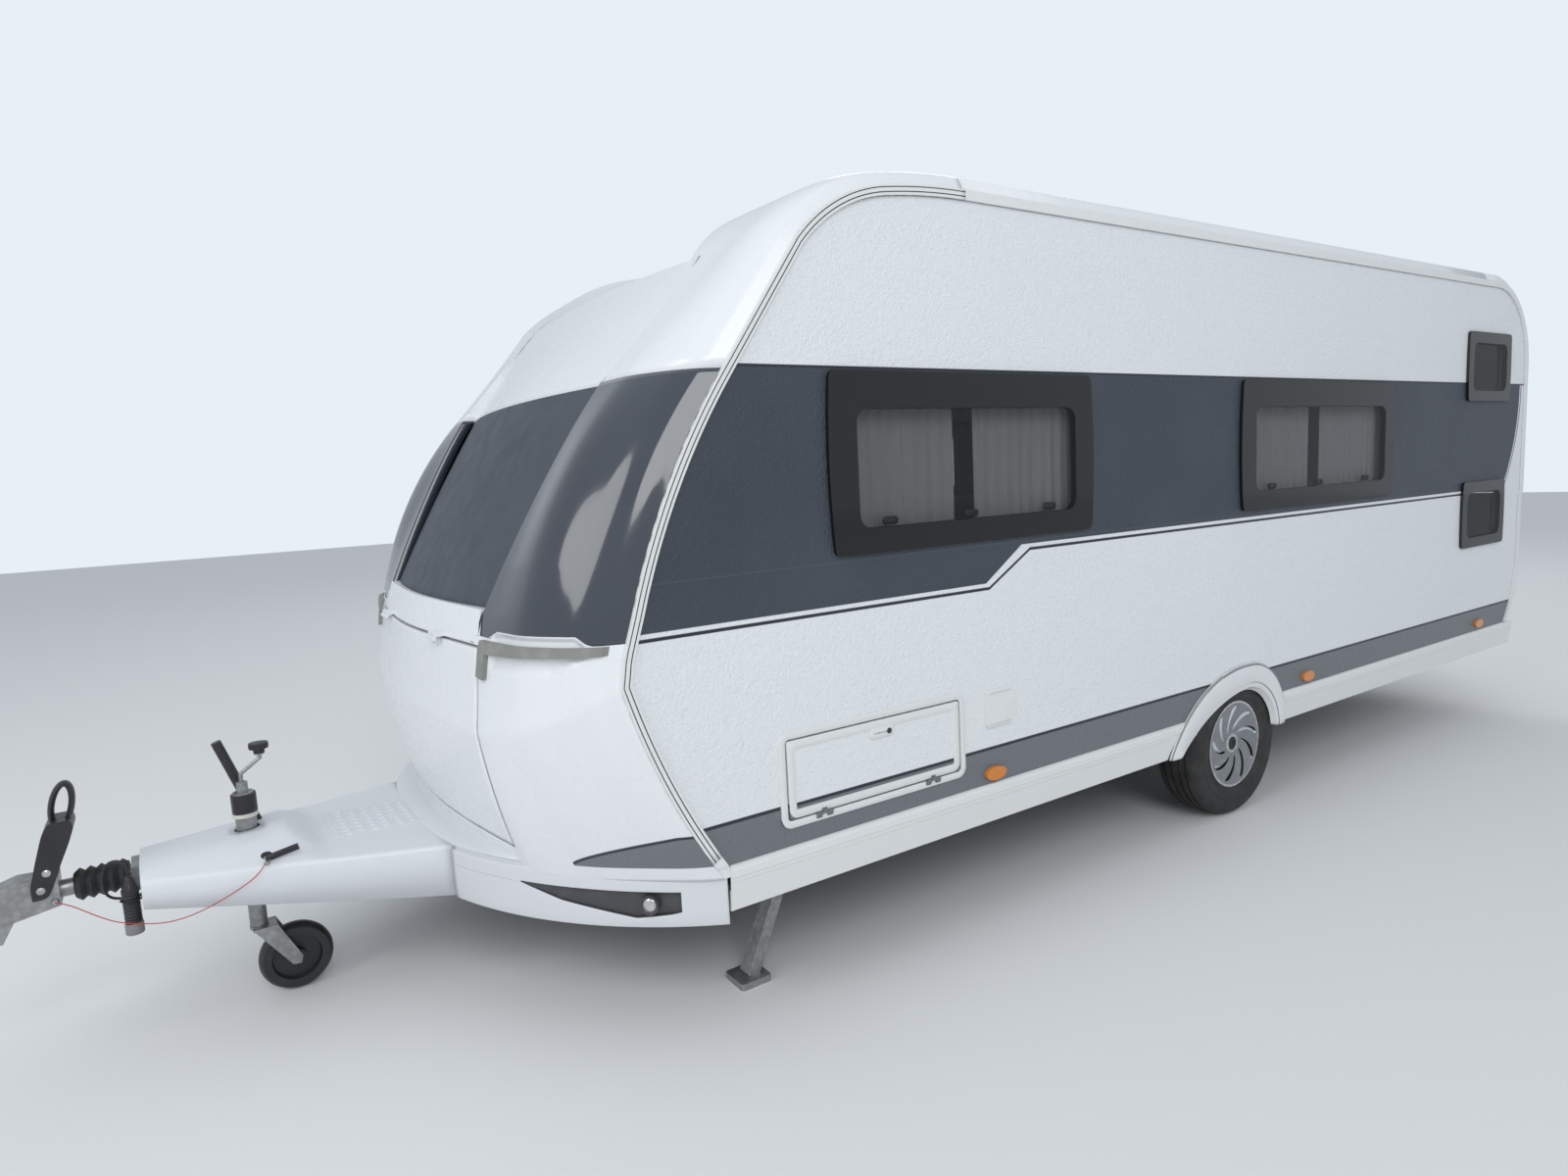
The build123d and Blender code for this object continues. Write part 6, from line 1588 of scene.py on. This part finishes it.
# Rear and roof: how far in from the rearmost point and how high, by the distance from the middle
REAR_TABLE = {
    0: [0, 2552], 700: [6, 2543], 890: [11, 2537], 1050: [15, 2531], 1115: [20, 2516], 1140: [30, 2470],
}
REAR_END, REAR_JOINT, ROOF_JOINT, JOINT_GAP = -3.026, -2.400, 1.605, 0.002
# Thickness of the skins of the roof, the rear and the cap
SHELL = 0.02
REAR_RADIUS, REAR_STEP_Z, REAR_STEP = 0.450, 1.268, 0.020
# The hip below the step: a circle through three points, as how far in and how high
HIP_ARC = ((REAR_STEP, 0.850), (0.076, 0.660), (0.260, 0.330))


def crown():
    """Distances across the body, close together at its corners, with the set-back and height there."""
    side = 1 - (1 - np.linspace(0, 1, 40)) ** 2.2
    y = np.concatenate([-WALL_Y * side[:0:-1], WALL_Y * side])
    back, top = eased_rows(REAR_TABLE, np.abs(y) * 1000).T / 1000
    return y, back, top


def rear_skin():
    """From the roof's joint: level, a quarter circle down, and straight to the step."""
    y, back, top = crown()
    rear = REAR_END + back
    rows = [(np.full(y.size, REAR_JOINT), top)]
    for angle in np.linspace(pi / 2, pi, 22):
        rows.append((rear + REAR_RADIUS * (1 + cos(angle)), top - REAR_RADIUS * (1 - sin(angle))))
    for z in np.linspace(top.min() - REAR_RADIUS - 0.05, REAR_STEP_Z + 0.016, 8):
        rows.append((rear, np.full(y.size, z)))
    rows.append((rear + 0.003, np.full(y.size, REAR_STEP_Z + 0.011)))
    rows.append((rear + REAR_STEP - 0.001, np.full(y.size, REAR_STEP_Z + 0.0065)))
    return np.stack([np.stack([at(x), y, z], -1) for x, z in rows])


def rear_lower_skin():
    """Under the step: straight down to the hip, then a circle's arc in to the floor."""
    y, back, _ = crown()
    rear = REAR_END + back
    arc = arc_through(HIP_ARC, 24)
    arc = arc[arc[:, 1] > BODY_FOOT]
    step = [(REAR_STEP + 0.004, REAR_STEP_Z + 0.003), (REAR_STEP, REAR_STEP_Z - 0.001)]
    line = [*step, (REAR_STEP, 1.10), (REAR_STEP, 0.95), *arc]
    return np.stack([np.stack([at(rear + x), y, np.full(y.size, z)], -1) for x, z in line])


def roof_skin():
    """The crown's line carried from the rear's joint to the front cap's."""
    y, _, top = crown()
    rows = np.linspace(REAR_JOINT + JOINT_GAP, ROOF_JOINT - JOINT_GAP, 9)
    return np.stack([np.stack([np.full(y.size, at(x)), y, top], -1) for x in rows])


def add_rear():
    """Roof and rear skins."""
    white = moulded("rear_white")
    for name, points, node, way in (
        ("rear_skin", rear_skin(), "rear_panel", (-1, 0, 1)),
        ("rear_lower_skin", rear_lower_skin(), "rear_bumper", (-1, 0, 0)),
        ("roof_skin", roof_skin(), "roof_panel", (0, 0, 1)),
    ):
        skin = smooth(thick(grid_piece(name, points), SHELL, way), 32)
        placed(skin, "caravan", "white_moulding", white, node)


def add_front():
    """Front skin from the roof to the floor, around its panes and the locker lid."""
    white, gloss, front = moulded("cap_white"), slate_gloss(), (1, 0, 0)
    cap = smooth(thick(grid_piece("cap_skin", front_cap()), SHELL, (1, 0, 1)), 32)
    placed(cap, "caravan", "white_moulding", white, "front_cap")
    for side, name in SIDES:
        pane = smooth(thick(grid_piece("corner_pane_" + name, corner_pane(side)), 0.006, (1, side, 0)), 40)
        placed(pane, "caravan", "slate_gloss", gloss)
        if side > 0:
            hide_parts("front_corner_panes")
    pane = smooth(thick(grid_piece("centre_pane", centre_pane()), 0.012, front), 40)
    placed(pane, "caravan", "slate_panel", slate_sheet(), "front_centre_pane")
    points, keep = lower_front()
    moulding = smooth(thick(grid_piece("lower_front", points, keep=keep), 0.003, front), 40)
    placed(moulding, "caravan", "white_moulding", nose_moulding())
    lid = smooth(thick(grid_piece("lid_skin", locker_lid()), 0.003, front), 40)
    placed(lid, "gas_locker_lid", "white_moulding", white)


def dress_nodes():
    """Finishes of the CAD nodes that show."""
    side_sheet().wear("left_wall", "right_wall", "entrance_door", "service_hatch", "cassette_hatch")
    moulded("white_moulding").wear("gas_locker_lid")
    nose_moulding().wear("front_lower_moulding")
    moulded("rail_white", CREAM, 0.30).wear("edge_rails", "sill_left", "sill_right", "socket_flap")
    plastic("rooflight_white", (0.74, 0.76, 0.77), 0.35).wear("rooflights")
    window_acrylic().wear("windows_left", "windows_right", "door_window")
    plastic("board", (0.42, 0.37, 0.30), 0.6).wear("locker_bulkhead")
    plastic("floor_underside", (0.035, 0.035, 0.037), 0.7).wear("floor_panel")
    plastic("box_black", (0.03, 0.03, 0.03), 0.6).wear("wheel_boxes")
    plastic("olive_grip", OLIVE, 0.45).wear("grab_handles")
    lens("amber_lens", (0.85, 0.28, 0.02)).wear("side_markers")
    lens("red_lens", (0.45, 0.015, 0.015)).wear("rear_lamps")
    zinc = galvanised()
    zinc.wear("chassis_rail_left", "chassis_rail_right", "cross_members", "axle", "coupling_body")
    zinc.wear("jockey_stem", "jockey_fork", "jockey_tube")
    zinc.wear("steady_front_left", "steady_front_right", "steady_rear_left", "steady_rear_right")
    plastic("black_plastic", (0.02, 0.02, 0.022), 0.4).wear("handbrake_lever", "jockey_wheel")
    plastic("bellows_rubber", (0.02, 0.02, 0.02), 0.6).wear("drawbar_bellows")
    galvanised("rim_silver", 0.5, 0.35).wear("rim_left", "rim_right")


add_camera()
add_cords()
add_stage()
dress_nodes()
add_hatches()
add_latches()
add_wheels()
add_arches()
add_bumper()
add_rails()
add_hitch()
add_curtains()
add_front()
add_rear()
